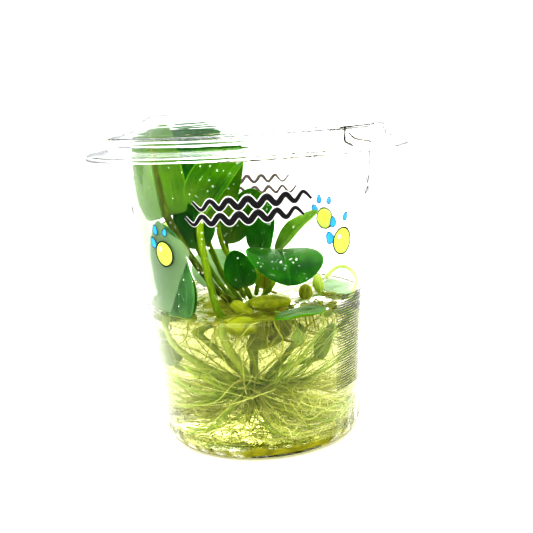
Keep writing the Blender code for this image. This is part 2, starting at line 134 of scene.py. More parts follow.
def smooth(low, high, x):
    """0 below low, 1 above high, and a smooth step between them."""
    t = np.clip((x - low) / (high - low), 0, 1)
    return t * t * (3 - 2 * t)


def cross_axes(points, hint=(0.3, 0.2, 1.0)):
    """Two directions across a curve at each of its points, which turn as little as they can."""
    side = np.array(hint, float)
    sides, ups = [], []
    for along in unit(np.gradient(points, axis=0)):
        side = unit(side - along * (side @ along))
        sides.append(side)
        ups.append(np.cross(side, along))
    return np.array(sides), np.array(ups)


# Shapes, worked as by hand in Blender


def alone(piece):
    bpy.ops.object.select_all(action="DESELECT")
    piece.select_set(True)
    bpy.context.view_layer.objects.active = piece


def edit(piece):
    """Opens the piece in edit mode with all of it selected."""
    alone(piece)
    bpy.ops.object.mode_set(mode="EDIT")
    bpy.ops.mesh.select_all(action="SELECT")


def close_seams(piece, reach=0.002):
    """Merges corners that meet, turns all faces outwards and goes back to object mode."""
    edit(piece)
    bpy.ops.mesh.remove_doubles(threshold=reach * MM)
    bpy.ops.mesh.normals_make_consistent(inside=False)
    bpy.ops.object.mode_set(mode="OBJECT")
    bpy.ops.object.shade_smooth()


def name_piece(name):
    piece = bpy.context.active_object
    piece.name = piece.data.name = name
    return piece


def turned(name, profile, steps=ROUND_STEPS):
    """Draws a profile of (radius, height) points, corner by corner, and spins it round the cup's axis."""
    bpy.ops.object.select_all(action="DESELECT")
    bpy.ops.mesh.primitive_plane_add(size=MM, location=(profile[0][0] * MM, 0, profile[0][1] * MM))
    piece = name_piece(name)
    bpy.ops.object.transform_apply(location=True, rotation=True, scale=True)
    edit(piece)
    bpy.ops.mesh.merge(type="CENTER")
    for (r, z), (next_r, next_z) in zip(profile, profile[1:]):
        step = ((next_r - r) * MM, 0, (next_z - z) * MM)
        bpy.ops.mesh.extrude_region_move(TRANSFORM_OT_translate={"value": step})
    bpy.ops.mesh.select_all(action="SELECT")
    bpy.ops.mesh.spin(steps=steps, angle=2 * math.pi, center=(0, 0, 0), axis=(0, 0, 1))
    bpy.ops.object.mode_set(mode="OBJECT")
    close_seams(piece)
    return piece


def points_of(piece):
    """The piece's corners in millimetres, one row each."""
    places = np.zeros(len(piece.data.vertices) * 3)
    piece.data.vertices.foreach_get("co", places)
    return places.reshape(-1, 3) / MM


def move_points(piece, places):
    piece.data.vertices.foreach_set("co", (places * MM).ravel())
    piece.data.update()


def formed(name, columns, rows, place, rise=0.0, shift=0.0):
    """A grid whose corners go where place(across, along), both from 0 to 1, puts them.

    shift and rise are added to its UV map's across and along values, by which a material tells its parts.
    """
    bpy.ops.object.select_all(action="DESELECT")
    bpy.ops.mesh.primitive_grid_add(x_subdivisions=columns, y_subdivisions=rows, size=1)
    piece = name_piece(name)
    flat = points_of(piece) * MM
    move_points(piece, place(flat[:, 0] + 0.5, flat[:, 1] + 0.5))
    if rise or shift:
        for corner in piece.data.uv_layers.active.data:
            corner.uv += Vector((shift, rise))
    close_seams(piece)
    return piece


def finish_modifier(piece, kind, **settings):
    alone(piece)
    modifier = piece.modifiers.new(kind.title(), kind)
    for key, value in settings.items():
        setattr(modifier, key, value)
    bpy.ops.object.modifier_apply(modifier=modifier.name)


def join(name, pieces):
    """Makes one object of several."""
    bpy.ops.object.select_all(action="DESELECT")
    for piece in pieces:
        piece.select_set(True)
    bpy.context.view_layer.objects.active = pieces[0]
    if len(pieces) > 1:
        bpy.ops.object.join()
    return name_piece(name)


def rounded_tube(name, points, radius, sides=STALK_SIDES, rise=0.0, shift=0.0, hint=(0.3, 0.2, 1.0)):
    """A tube along points with closed round ends. radius is a number or a list with one for each point."""
    axes, ups = cross_axes(points, hint)
    count = len(points)
    radii = np.broadcast_to(np.array(radius, float), count).copy()
    radii[[0, -1]] = 0
    radii[[1, -2]] *= 0.8

    def place(across, along):
        row = np.rint(along * (count - 1)).astype(int)
        turn = 2 * np.pi * across
        out = axes[row] * np.cos(turn)[:, None] + ups[row] * np.sin(turn)[:, None]
        return points[row] + radii[row][:, None] * out

    return formed(name, sides, count - 1, place, rise, shift)


def copies(name, template, places, sizes, ups):
    """Many small copies of a template (its points and faces) in one mesh.

    Each sits at its place, with its own size, and its third axis along its up direction.
    """
    points, faces = template
    all_points, all_faces = [], []
    for i, (centre, size, up) in enumerate(zip(places, sizes, ups)):
        side = unit(np.cross(up, vec(0.31, 0.77, 0.55)))
        turned_points = points * size
        front = np.cross(up, side)
        laid = centre + turned_points @ np.array([side, front, up])
        all_points.append(laid)
        all_faces.extend(tuple(corner + i * len(points) for corner in face) for face in faces)
    mesh = bpy.data.meshes.new(name)
    mesh.from_pydata(np.vstack(all_points) * MM, [], all_faces)
    mesh.shade_smooth()
    piece = bpy.data.objects.new(name, mesh)
    bpy.context.scene.collection.objects.link(piece)
    return piece


def ball(subdivisions):
    """The points and faces of a ball of radius 1, to copy."""
    bpy.ops.object.select_all(action="DESELECT")
    bpy.ops.mesh.primitive_ico_sphere_add(subdivisions=subdivisions, radius=1)
    made = bpy.context.active_object
    template = points_of(made) * MM, [tuple(face.vertices) for face in made.data.polygons]
    bpy.data.objects.remove(made)
    return template


def strands(name, routes, thicknesses):
    """Fine round strands in one mesh: a curve with one line for each route, made a mesh."""
    curve = bpy.data.curves.new(name, "CURVE")
    curve.dimensions = "3D"
    curve.bevel_depth = MM
    curve.bevel_resolution = 1
    curve.use_fill_caps = True
    for route, thickness in zip(routes, thicknesses):
        line = curve.splines.new("POLY")
        line.points.add(len(route) - 1)
        line.points.foreach_set("co", np.hstack([route * MM, np.ones((len(route), 1))]).ravel())
        line.points.foreach_set("radius", np.broadcast_to(thickness, len(route)).astype(float))
    piece = bpy.data.objects.new(name, curve)
    bpy.context.scene.collection.objects.link(piece)
    alone(piece)
    bpy.ops.object.convert(target="MESH")
    piece = name_piece(name)
    bpy.ops.object.shade_smooth()
    return piece


def fit(piece, material, slot, *nodes):
    """Gives a finished piece its material, and lets it stand for the model's nodes. slot is not used."""
    if material is not None:
        piece.data.materials.clear()
        piece.data.materials.append(material)
    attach(piece, "root")
    if nodes:
        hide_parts(*nodes)
    return piece


# Materials


class Value:
    """A shader socket that takes part in plain sums."""

    def __init__(self, finish, socket):
        self.finish, self.socket = finish, socket

    def sum(self, operation, *others):
        return self.finish.node("ShaderNodeMath", {"operation": operation}, dict(enumerate(others)))

    def sine(self):
        return self.sum("SINE", self)

    def __abs__(self):
        return self.sum("ABSOLUTE", self)

    def __rsub__(self, other):
        return self.sum("SUBTRACT", other, self)


def sum_with(operation):
    """A method of Value that works out operation with another value."""
    return lambda self, other: self.sum(operation, self, other)


Value.__add__ = Value.__radd__ = sum_with("ADD")
Value.__sub__ = sum_with("SUBTRACT")
Value.__mul__ = Value.__rmul__ = sum_with("MULTIPLY")
Value.__gt__ = sum_with("GREATER_THAN")
Value.__lt__ = sum_with("LESS_THAN")
Value.__or__ = sum_with("MAXIMUM")


class Finish:
    """A material, or the world's backdrop, and the one way in which its nodes are made."""

    def __init__(self, name, world=None):
        self.material = world or bpy.data.materials.new(name)
        self.material.use_nodes = True
        self.tree = self.material.node_tree
        self.tree.nodes.clear()
        self.end = self.tree.nodes.new("ShaderNodeOutputWorld" if world else "ShaderNodeOutputMaterial")

    def node(self, kind, settings=None, sockets=None, out=0):
        made = self.tree.nodes.new(kind)
        for key, value in (settings or {}).items():
            if key == "stops":
                self.set_stops(made.color_ramp, value)
            else:
                setattr(made, key, value)
        for key, value in (sockets or {}).items():
            if isinstance(value, Value):
                self.tree.links.new(value.socket, made.inputs[key])
            elif isinstance(value, tuple) and len(value) == 3 and made.inputs[key].type == "RGBA":
                made.inputs[key].default_value = (*value, 1)
            else:
                made.inputs[key].default_value = value
        return Value(self, made.outputs[out])

    def set_stops(self, ramp, stops):
        while len(ramp.elements) < len(stops):
            ramp.elements.new(0.5)
        for element, (place, colour) in zip(ramp.elements, stops):
            element.position = place
            element.color = (*colour, 1)

    def place(self):
        """Object coordinates, in metres."""
        return self.node("ShaderNodeTexCoord", out="Object")

    def height(self):
        """Height above what the cup stands on, in millimetres."""
        return self.node("ShaderNodeSeparateXYZ", sockets={0: self.place()}, out=2) * 1000.0

    def uv(self):
        """The UV map's two values: across the piece, and along it."""
        split = self.node("ShaderNodeSeparateXYZ", sockets={0: self.node("ShaderNodeTexCoord", out="UV")})
        return split, Value(self, split.socket.node.outputs[1])

    def noise(self, size, detail=3.0, roughness=0.55, stretch=None, where=None):
        """Smooth noise, 0 to 1, with features of about the given size in millimetres."""
        where = where or self.place()
        if stretch:
            where = self.node("ShaderNodeMapping", sockets={"Vector": where, "Scale": stretch})
        sockets = {"Vector": where, "Scale": 1 / (size * MM), "Detail": detail, "Roughness": roughness}
        return self.node("ShaderNodeTexNoise", sockets=sockets)

    def ramp(self, value, low, high):
        """0 to 1 as the value goes from low to high."""
        sockets = {"Value": value, "From Min": low, "From Max": high}
        return self.node("ShaderNodeMapRange", {"interpolation_type": "SMOOTHSTEP"}, sockets)

    def mix(self, share, first, second):
        """A colour between two, share 0 to 1."""
        return self.node("ShaderNodeMix", {"data_type": "RGBA"}, {0: share, 6: first, 7: second}, out=2)

    def mottled(self, size, detail, low, high, dark, light):
        """A colour that goes from dark to light in patches of about the given size."""
        return self.mix(self.ramp(self.noise(size, detail=detail), low, high), dark, light)

    def bump(self, height, depth, strength=1.0):
        """A normal from a height of 0 to 1 that stands for depth millimetres."""
        sockets = {"Height": height, "Distance": depth * MM, "Strength": strength}
        return self.node("ShaderNodeBump", sockets=sockets)

    def surface(self, **sockets):
        names = {key.replace("_", " "): value for key, value in sockets.items()}
        return self.node("ShaderNodeBsdfPrincipled", sockets=names)

    def blend(self, share, first, second):
        """A shader between two."""
        return self.node("ShaderNodeMixShader", sockets={0: share, 1: first, 2: second})

    def lit_through(self, share, skin, colour):
        """The skin's shader, with a share of the light from behind coming through in the given colour."""
        return self.blend(share, skin, self.node("ShaderNodeBsdfTranslucent", sockets={"Color": colour}))

    def film(self, cover, shader):
        """The shader where cover is 1, and nothing where it is 0."""
        return self.blend(cover, self.node("ShaderNodeBsdfTransparent"), shader)

    def done(self, shader, inside=None):
        self.tree.links.new(shader.socket, self.end.inputs["Surface"])
        if inside is not None:
            self.tree.links.new(inside.socket, self.end.inputs["Volume"])
        return self.material

    def dimmed_in_mirrors(self, shader, dim):
        """The shader, except that mirror reflections see the dim one."""
        glossy = self.node("ShaderNodeLightPath", out="Is Glossy Ray")
        reflected = self.node("ShaderNodeLightPath", out="Is Reflection Ray")
        return self.blend(glossy * reflected, shader, dim)

    def clear_to_lamps(self, shader, tint=(1.0, 1.0, 1.0)):
        """The shader, except that light on its way to what stands behind it passes straight through."""
        shadow = self.node("ShaderNodeLightPath", out="Is Shadow Ray")
        soft = self.node("ShaderNodeLightPath", out="Is Diffuse Ray")
        straight = self.node("ShaderNodeBsdfTransparent", sockets={"Color": tint})
        return self.blend(shadow | soft, shader, straight)


def clear_plastic(name):
    """Thin clear polyester, drawn over a mould: faintly wavy, uneven at the foot, streaked round the lid."""
    made = Finish(name)
    waves = made.noise(9.0, detail=2.0) + made.noise(2.5, detail=1.0) * 0.15
    lid = name == "lid_plastic"
    if lid:
        waves = waves + made.noise(1.5, detail=2.0, stretch=(0.04, 0.04, 1.0)) * 1.5
    else:
        waves = waves + (1 - made.ramp(made.height(), 6.0, 14.0)) * made.noise(2.8, detail=2.0) * 4.0
    shader = made.surface(
        Base_Color=(0.985, 0.995, 0.99), Roughness=0.05 if lid else 0.015, IOR=1.50,
        Specular_Tint=(0.15, 0.15, 0.15), Transmission_Weight=1.0, Normal=made.bump(waves, 0.06),
    )
    return made.done(made.clear_to_lamps(shader))


def pond_water():
    """Water made yellow-green and a little murky by roots and old leaves."""
    made = Finish("pond_water")
    shader = made.surface(
        Base_Color=(1.0, 1.0, 1.0), Roughness=0.0, IOR=1.333, Transmission_Weight=1.0,
        Normal=made.bump(made.noise(7.0, detail=1.0), 0.08),
    )
    tint = made.node("ShaderNodeVolumeAbsorption", sockets={"Color": (0.65, 0.655, 0.33), "Density": 37.0})
    return made.done(made.clear_to_lamps(shader, tint=(0.96, 0.96, 0.84)), tint)


def drop_water():
    made = Finish("drop_water")
    shader = made.surface(Base_Color=(0.95, 1.0, 0.90), Roughness=0.03, IOR=1.333, Transmission_Weight=0.74)
    return made.done(made.clear_to_lamps(shader))


# Each kind of leaf: its colour in shade and in light, its tan patches, light through it, how much passes
LEAF_KINDS = {
    # leaf_dark is kept darker, as painted shade, for the broad leaf that is lit from above
    "leaf_dark": ((0.001, 0.055, 0), (0.02, 0.13, 0), (0.07, 0.12, 0), (0.05, 0.30, 0), 0.16),
    "leaf_mid": ((0.022, 0.105, 0), (0.075, 0.2, 0), (0.15, 0.18, 0.001), (0.17, 0.46, 0), 0.22),
    "leaf_bright": ((0.038, 0.125, 0), (0.102, 0.224, 0), (0.15, 0.2, 0.001), (0.2, 0.44, 0), 0.24),
    "leaf_pale": ((0.03, 0.12, 0.03), (0.085, 0.215, 0.07), (0.12, 0.19, 0.04), (0.17, 0.42, 0.09), 0.24),
    # A lighter copy of leaf_dark, painted light, for the dark leaves that sit in shade
    "leaf_shaded": ((0.003, 0.088, 0), (0.028, 0.19, 0), (0.075, 0.165, 0), (0.07, 0.42, 0), 0.20),
    "leaf_frosted": ((0.23, 0.34, 0.19), (0.4, 0.5, 0.33), (0.38, 0.46, 0.24), (0.52, 0.7, 0.42), 0.36),
    "leaf_young": ((0.06, 0.16, 0.004), (0.19, 0.33, 0.05), (0.26, 0.36, 0.08), (0.4, 0.62, 0.12), 0.30),
    "leaf_yellowed": ((0.15, 0.26, 0.001), (0.33, 0.42, 0.004), (0.36, 0.34, 0.004), (0.55, 0.72, 0), 0.34),
    "leaf_olive": ((0.2, 0.23, 0.004), (0.44, 0.47, 0.02), (0.4, 0.34, 0.02), (0.56, 0.6, 0.04), 0.34),
}
STALK_LIME = ((0.150, 0.240, 0.002), (0.300, 0.425, 0.008))
STALK_OLIVE = ((0.080, 0.115, 0.001), (0.240, 0.310, 0.012))
# Partly the pale colour of sunken stalks and blades, partly painted light against the water's shade
SUNKEN_PALE_AND_LIT_GREEN = (0.640, 0.740, 0.240)
# Painted sheen: the pale grey-green that blades go to towards their foot
FOOT_SHEEN_GREEN = (0.20, 0.32, 0.10)
# Painted shade: the dark green that leaves go to under the lid
LID_SHADE_GREEN = (0.006, 0.070, 0.002)
UNDERSIDE_GREEN = (0.26, 0.44, 0.06)


def leaf_finish(kind, under=False):
    """Waxy leaf: veins that run side by side from foot to tip, finer cross veins, and light through it.

    The underside is paler, matter and spongy. A stalk's UV map starts at 2, and takes the blade's colour from
    2.6 on, where it is the midrib. A stalk further across than 1.5 is an old, olive one.
    """
    deep, light, tan, glow, thin = LEAF_KINDS[kind]
    made = Finish(f"{kind}_{'under' if under else 'upper'}")
    across, along = made.uv()
    from_rib = abs(across - 0.5) * 2
    on_stalk = (along > 1.5) * (1 - made.ramp(along, 2.60, 2.74))
    on_blade = 1 - (along > 1.5)
    rib = 1 - made.ramp(from_rib, 0.0, 0.07)
    wave = (from_rib * 5 * math.pi).sine()
    side_veins = made.ramp(wave * wave, 0.10, 0.0)
    cross_veins = made.ramp(made.noise(1.6, detail=2.0, stretch=(1.0, 1.0, 0.45)), 0.55, 0.70)
    veined = 0.08 if kind == "leaf_dark" else 0.18
    green = made.mottled(9.0, 4.0, 0.36, 0.66, deep, light)
    green = made.mix(made.ramp(made.noise(13.0), 0.50, 0.72) * 0.40, green, tan)
    green = made.mix((rib * 0.26 + side_veins * veined + cross_veins * 0.12) * on_blade, green, glow)
    green = made.mix(made.ramp(from_rib, 0.93, 1.0) * on_blade * 0.5, green, glow)
    # Painted sheen: each blade paler towards its foot
    green = made.mix((1 - made.ramp(along, 0.0, 0.5)) * on_blade * 0.30, green, FOOT_SHEEN_GREEN)
    # Painted shade under the lid: leaves darken towards it in horizontal streaks
    lid_shade_streaks = made.noise(1.3, detail=2.0, stretch=(0.08, 0.08, 1.0)) * 0.9 + 0.4
    green = made.mix(made.ramp(made.height(), 107.0, 111.0) * lid_shade_streaks, green, LID_SHADE_GREEN)
    streaks = made.ramp(made.noise(2.2, stretch=(1.0, 1.0, 0.12)), 0.35, 0.7)
    stalk_green = made.mix(across > 1.5, made.mix(streaks, *STALK_LIME), made.mix(streaks, *STALK_OLIVE))
    green = made.mix(on_stalk, green, stalk_green)
    # Under water, stalks and blades go paler: partly their own colour, partly painted light against the
    # water's shade
    sunk = 1 - made.ramp(made.height(), 44.0, 51.0)
    green = made.mix(sunk * (on_stalk * 0.40 + 0.54), green, SUNKEN_PALE_AND_LIT_GREEN)
    if under:
        green = made.mix(0.18, green, UNDERSIDE_GREEN)
    fine = made.noise(0.35, detail=2.0)
    height = side_veins * veined * 1.6 + cross_veins * 0.15 + rib * 0.5 + fine * 0.18 + made.noise(4.0) * 0.6
    skin = made.surface(
        Base_Color=green, Roughness=made.noise(3.0) * 0.16 + (0.46 if under else 0.28), IOR=1.45,
        Specular_IOR_Level=0.05 if under else 0.08, Normal=made.bump(height, 0.22, 0.8),
    )
    return made.done(made.lit_through(thin, skin, glow))


def juicy_finish(name, deep, light, glow, thin=0.3, size=1.4, rough=0.30):
    """Smooth, juicy stems, runners and thick roots: streaked along and faintly knobbly."""
    made = Finish(name)
    green = made.mottled(size * 3, 4.0, 0.32, 0.68, deep, light)
    green = made.mix(made.ramp(made.noise(size * 0.5, detail=2.0), 0.56, 0.72) * 0.4, green, glow)
    skin = made.surface(
        Base_Color=green, Roughness=made.noise(size) * 0.2 + rough, IOR=1.42, Specular_IOR_Level=0.3,
        Normal=made.bump(made.noise(size * 0.4), 0.12),
    )
    return made.done(made.lit_through(thin, skin, glow))


def spongy_finish(name, deep, light, top):
    """A swollen, yellowed leaf: air cells show as paler spots under a thin skin, which is paler along its
    ridges.
    """
    made = Finish(name)
    sockets = {"Vector": made.place(), "Scale": 1 / (1.1 * MM), "Randomness": 0.9}
    cells = made.node("ShaderNodeTexVoronoi", {"feature": "F1"}, sockets)
    across, _ = made.uv()
    ridge = made.ramp((across * 14 * math.pi).sine() + made.noise(2.0), 0.3, 1.3)
    yellow = made.mottled(4.0, 4.0, 0.34, 0.68, deep, light)
    yellow = made.mix(made.ramp(cells, 0.45, 0.15) * 0.35 + ridge * 0.25, yellow, top)
    rot = made.ramp(made.noise(3.2, detail=5.0), 0.64, 0.76) * 0.45
    yellow = made.mix(rot, yellow, (0.090, 0.080, 0.004))
    skin = made.surface(
        Base_Color=yellow, Roughness=made.noise(1.5) * 0.2 + 0.24, IOR=1.42, Specular_IOR_Level=0.3,
        Normal=made.bump(ridge * 0.5 + cells * 0.25 + made.noise(0.8) * 0.3, 0.3),
    )
    return made.done(made.lit_through(0.34, skin, light))


def root_finish(name, deep, light, thin):
    made = Finish(name)
    pale = made.mottled(6.0, 3.0, 0.35, 0.65, deep, light)
    skin = made.surface(Base_Color=pale, Roughness=made.noise(1.0) * 0.2 + 0.4, IOR=1.38)
    return made.done(made.lit_through(thin, skin, light))


def fog_film():
    """Condensation: droplets too fine to see, wiped clear in one streak by a drop that ran down."""
    made = Finish("condensation_film")
    across, along = made.uv()
    z = made.height()
    edges = made.ramp(across, 0.0, 0.26) * made.ramp(across, 1.0, 0.985)
    ends = made.ramp(along, 0.0, 0.02) * made.ramp(along, 1.0, 0.985)
    cloud = made.noise(14.0) * 0.3 + 0.85
    grain = made.noise(0.5, detail=1.0) * 0.3 + 0.85
    thick = 1 - made.ramp(z, 78.0, 92.0) * 0.34
    drip = (abs(across - 0.864) < (z - 102.0) * 0.006 + 0.032) * (z > 101.9)
    aside, above = (across - 0.860) * 60, z - 100.4
    drop = (aside * aside + above * above) < 1.4
    white = made.surface(Base_Color=(0.36, 0.50, 0.27), Roughness=0.6, Normal=made.bump(made.noise(0.6), 0.1))
    cover = edges * ends * cloud * grain * thick * (1 - (drip | drop)) * FOG_COVER
    return made.done(made.film(cover, made.lit_through(0.6, white, (0.40, 0.56, 0.30))))


def ink(name, colour):
    """Printed ink, a little uneven, with tiny gaps where the plastic shows."""
    made = Finish(name)
    patchy = made.mottled(1.2, 4.0, 0.30, 0.60, tuple(part * 0.8 for part in colour), colour)
    rough = made.noise(2.0) * 0.2 + 0.35
    return made.done(made.surface(Base_Color=patchy, Roughness=rough, Coat_Weight=0.2))


def soil_and_edge_shade(name, size, detail, low, high, dark, light, rough_size):
    """Dull colour in patches: soiled, whitened plastic at a crack's edge, or painted shade along the lid's
    edges.
    """
    made = Finish(name)
    patchy = made.mottled(size, detail, low, high, dark, light)
    return made.done(made.surface(Base_Color=patchy, Roughness=made.noise(rough_size) * 0.2 + 0.4))


def grit_finish():
    made = Finish("grit")
    speckled = made.mix(made.noise(0.4), (0.020, 0.022, 0.006), (0.10, 0.09, 0.02))
    return made.done(made.surface(Base_Color=speckled, Roughness=0.7))


def foot_shade_finish():
    """Olive painted shade for the base's shadow, thickest low down and towards the front right."""
    made = Finish("foot_shade_film")
    across, along = made.uv()
    shade_olive = made.mottled(5.0, 3.0, 0.30, 0.62, (0.13, 0.13, 0.002), (0.42, 0.40, 0.03))
    shade_skin = made.surface(Base_Color=shade_olive, Roughness=made.noise(1.0) * 0.2 + 0.5)
    cover = made.ramp(along, 1.0, 0.82) * (made.ramp(abs(across - 0.80), 0.40, 0.16) * 0.30 + 0.65)
    return made.done(made.film(cover, made.lit_through(0.45, shade_skin, (0.42, 0.40, 0.04))))


# The cup


def cup_wall_r(z):
    """The wall's outer radius at height z."""
    return CUP_FOOT_R + (CUP_MOUTH_R - CUP_FOOT_R) * z / CUP_WALL_TOP


def arc(centre, radius, start, end, steps):
    """Points on an arc, angles in degrees from +radius."""
    angles = np.radians(np.linspace(start, end, steps))
    return [(centre[0] + radius * math.cos(a), centre[1] + radius * math.sin(a)) for a in angles]


def inset(line, amount):
    """The line moved to its left by amount, corners kept sharp."""
    line = np.array(line, float)
    steps = np.diff(line, axis=0)
    lefts = np.stack([-steps[:, 1], steps[:, 0]], -1) / np.linalg.norm(steps, axis=1)[:, None]
    moved = [line[0] + lefts[0] * amount]
    for before, after, corner in zip(lefts, lefts[1:], line[1:-1]):
        bisector = (before + after) / np.linalg.norm(before + after)
        moved.append(corner + bisector * amount / (bisector @ after))
    moved.append(line[-1] + lefts[-1] * amount)
    return [tuple(point) for point in moved]


def rounded(line, radius, steps=5):
    """The line with each inner corner rounded by a short curve that starts radius before it."""
    line = np.array(line, float)
    made = [line[0]]
    for before, corner, after in zip(line, line[1:], line[2:]):
        reach = min(radius, np.linalg.norm(corner - before) * 0.45, np.linalg.norm(after - corner) * 0.45)
        start = corner + unit(before - corner) * reach
        end = corner + unit(after - corner) * reach
        for t in np.linspace(0, 1, steps):
            made.append((1 - t) ** 2 * start + 2 * t * (1 - t) * corner + t * t * end)
    made.append(line[-1])
    return [tuple(point) for point in made]


def cup_outer_line():
    """From the middle of the floor's underside, out round the foot and up the wall."""
    corner_r = cup_wall_r(FOOT_CORNER_R) - FOOT_CORNER_R
    ring_inner = corner_r - STANDING_RING_WIDTH
    wall = [(cup_wall_r(z), z) for z in np.linspace(12, CUP_WALL_TOP, 17)]
    return [
        (0, FLOOR_RISE),
        (10, FLOOR_RISE - 0.05),
        (20, FLOOR_RISE - 0.25),
        (ring_inner - 4.2, FLOOR_RISE - 0.5),
        (ring_inner - 2.6, FLOOR_RISE - 1.2),
        (ring_inner - 1.1, 0.7),
        (ring_inner, 0),
        *arc((corner_r, FOOT_CORNER_R), FOOT_CORNER_R, -90, 0, 12),
        *wall,
    ]


def moulded_foot(piece):
    """Presses in the foot's dents: shallow flutes round the corner, and one long step at the front."""
    places = points_of(piece)
    x, y, z = places.T
    r = np.hypot(x, y)
    azimuth = np.degrees(np.arctan2(y, x))
    at_corner = smooth(26.0, 33.0, r) * (1 - smooth(4.5, 9.5, z)) * smooth(0.2, 1.4, z)
    flutes = (0.5 + 0.5 * np.cos(np.radians(azimuth) * FOOT_FLUTES)) ** 3
    step = smooth(-101, -95, azimuth) * (1 - smooth(-56, -48, azimuth))
    press = at_corner * (0.35 * flutes + 1.5 * step)
    inward = press / np.maximum(r, 1)
    places[:, 0] -= x * inward
    places[:, 1] -= y * inward
    places[:, 2] += press * 0.55
    move_points(piece, places)


def make_cup(material):
    outer = cup_outer_line()
    inner = inset(outer, WALL)
    inner[0] = (0, inner[0][1])
    bead_outer = arc((RIM_R, RIM_Z), RIM_BEAD_R, 180, -50, 14)
    bead_inner = arc((RIM_R, RIM_Z), RIM_BEAD_R - WALL, -50, 180, 10)
    cup = turned("cup_shell", [*inner, *bead_outer, *bead_inner, *outer[::-1]])
    moulded_foot(cup)
    return fit(cup, material, "clear_plastic", "cup")


# The lid


# Creases in the lid's crown: azimuth in degrees, half width in degrees, depth
LID_CREASES = [(-50.0, 1.6, 0.9), (-44.0, 1.4, -0.5), (-68.0, 1.2, 0.3)]

# Cracks that run over the crown and out across the brim: azimuth, radius and height of each point
LID_CRACKS = [
    [
        (-50.2, 50.7, 115.1), (-51.0, 51.1, 112.6), (-52.2, 52.2, 110.8), (-53.4, 54.8, 110.2),
        (-54.4, 57.8, 109.6),
    ],
    [(-48.9, 51.1, 113.0), (-46.2, 51.6, 111.2), (-44.2, 53.6, 110.5), (-43.0, 56.0, 110.0)],
    [(-52.8, 50.9, 115.1), (-44.0, 50.9, 115.2), (-36.0, 50.9, 115.2), (-31.0, 50.8, 115.1)],
]
LID_CRACK_WIDTHS = [0.34, 0.24, 0.28]

# Painted shade: lines for the dark edges that reflection and refraction give the lid
# Dark lines along the lid's edges: from and to azimuth, radius, height and thickness
LID_EDGE_SHADE = [
    (-102, -66, 58.50, 107.50, 0.33), (-96, -60, 58.60, 108.60, 0.16), (-66, -14, 58.50, 107.50, 0.22),
    (-114, -42, 46.70, 115.50, 0.16), (-176, -150, 50.70, 114.60, 0.15), (-58, -24, 50.60, 114.30, 0.14),
]


def make_lid(material):
    line = [
        (BRIM_R, BRIM_TOP - BRIM_LIP_DROP),
        (BRIM_R, BRIM_TOP - BRIM_FALL),
        (CROWN_R + 1.0, BRIM_TOP),
        (CROWN_R + 0.5, BRIM_TOP + 2.0),
        (CROWN_R + 0.2, BRIM_TOP + 2.3),
        (CROWN_R, CROWN_TOP),
        (CONE_FOOT_R, CROWN_TOP),
        (PLATEAU_R, LID_TOP - 0.3),
        (PLATEAU_R - 2.1, LID_TOP),
        (PLATEAU_R - 5.5, LID_TOP),
        (PLATEAU_R - 6.3, LID_TOP - PLATEAU_DIP),
        (PLATEAU_R - 8.0, LID_TOP - PLATEAU_DIP),
        (0, LID_TOP - PLATEAU_DIP),
    ]
    outer = rounded(line, 0.7)
    inner = inset(outer, WALL)
    inner[-1] = (0, inner[-1][1])
    lid = turned("lid_shell", [*outer[::-1], *inner])
    places = points_of(lid)
    x, y, z = places.T
    azimuth = np.degrees(np.arctan2(y, x))
    on_crown = smooth(BRIM_TOP - 0.2, BRIM_TOP + 1.2, z) * (1 - smooth(CROWN_TOP - 0.4, CROWN_TOP + 1.5, z))
    for middle, width, depth in LID_CREASES:
        lean = middle + (z - BRIM_TOP) * 0.9
        inward = depth * on_crown * np.exp(-(((azimuth - lean) / width) ** 2)) / np.maximum(np.hypot(x, y), 1)
        places[:, 0] -= x * inward
        places[:, 1] -= y * inward
    move_points(lid, places)
    return fit(lid, material, "clear_plastic", "lid")


def make_cracks(material):
    routes = [through([polar(r, math.radians(a), z) for a, r, z in crack], 24) for crack in LID_CRACKS]
    fit(strands("lid_cracks", routes, LID_CRACK_WIDTHS), material, "clear_plastic")


# Painted shade: dark strands along the lid's edges
def make_edge_shade(material):
    routes, thicknesses = [], []
    for start, end, r, z, thick in LID_EDGE_SHADE:
        turn = np.radians(np.linspace(start, end, 60))
        routes.append(polar(r, turn, z + rng.normal(0, 0.06, 60)))
        thicknesses.append(thick * rng.uniform(0.3, 1.3, 60))
    fit(strands("lid_edge_shade", routes, thicknesses), material, "clear_plastic")


# The water


def make_water(material):
    """One full body of water: bed, side, raised edge at the wall, and a faintly rippled surface."""
    bed = inset(cup_outer_line(), WALL + WATER_GAP)
    bed[0] = (0, bed[0][1])
    side = [point for point in bed if point[1] < WATER_LEVEL - 3]
    edge_r = cup_wall_r(WATER_LEVEL) - WALL - WATER_GAP
    top = []
    for r in [*np.linspace(0, edge_r - 4, 22), *np.linspace(edge_r - 3.4, edge_r, 9)]:
        rise = MENISCUS_RISE * math.exp(-(edge_r - r) / MENISCUS_REACH * 1.6)
        top.append((r, WATER_LEVEL + rise))
    water = turned("water_body", [*side, *top[::-1]])
    places = points_of(water)
    x, y, z = places.T
    calm = 1 - smooth(edge_r - 5, edge_r, np.hypot(x, y))
    ripple = 0.16 * np.sin(x * 0.42 + 1.3) * np.sin(y * 0.37 + 0.4) + 0.08 * np.sin(x * 0.9 - y * 0.8)
    places[:, 2] += np.where(z > WATER_LEVEL - 0.5, ripple * calm, 0)
    move_points(water, places)
    moulded_foot(water)
    return fit(water, material, "pond_water", "water")


# Prints on the outside of the wall, laid out by distance to the right of the front and height


def on_wall(s, z, azimuth, clear):
    """The place s millimetres to the right of an azimuth, at height z, clear of the wall's outer face."""
    r = cup_wall_r(z) + clear
    a = np.radians(azimuth) + s / r
    return polar(r, a, z)


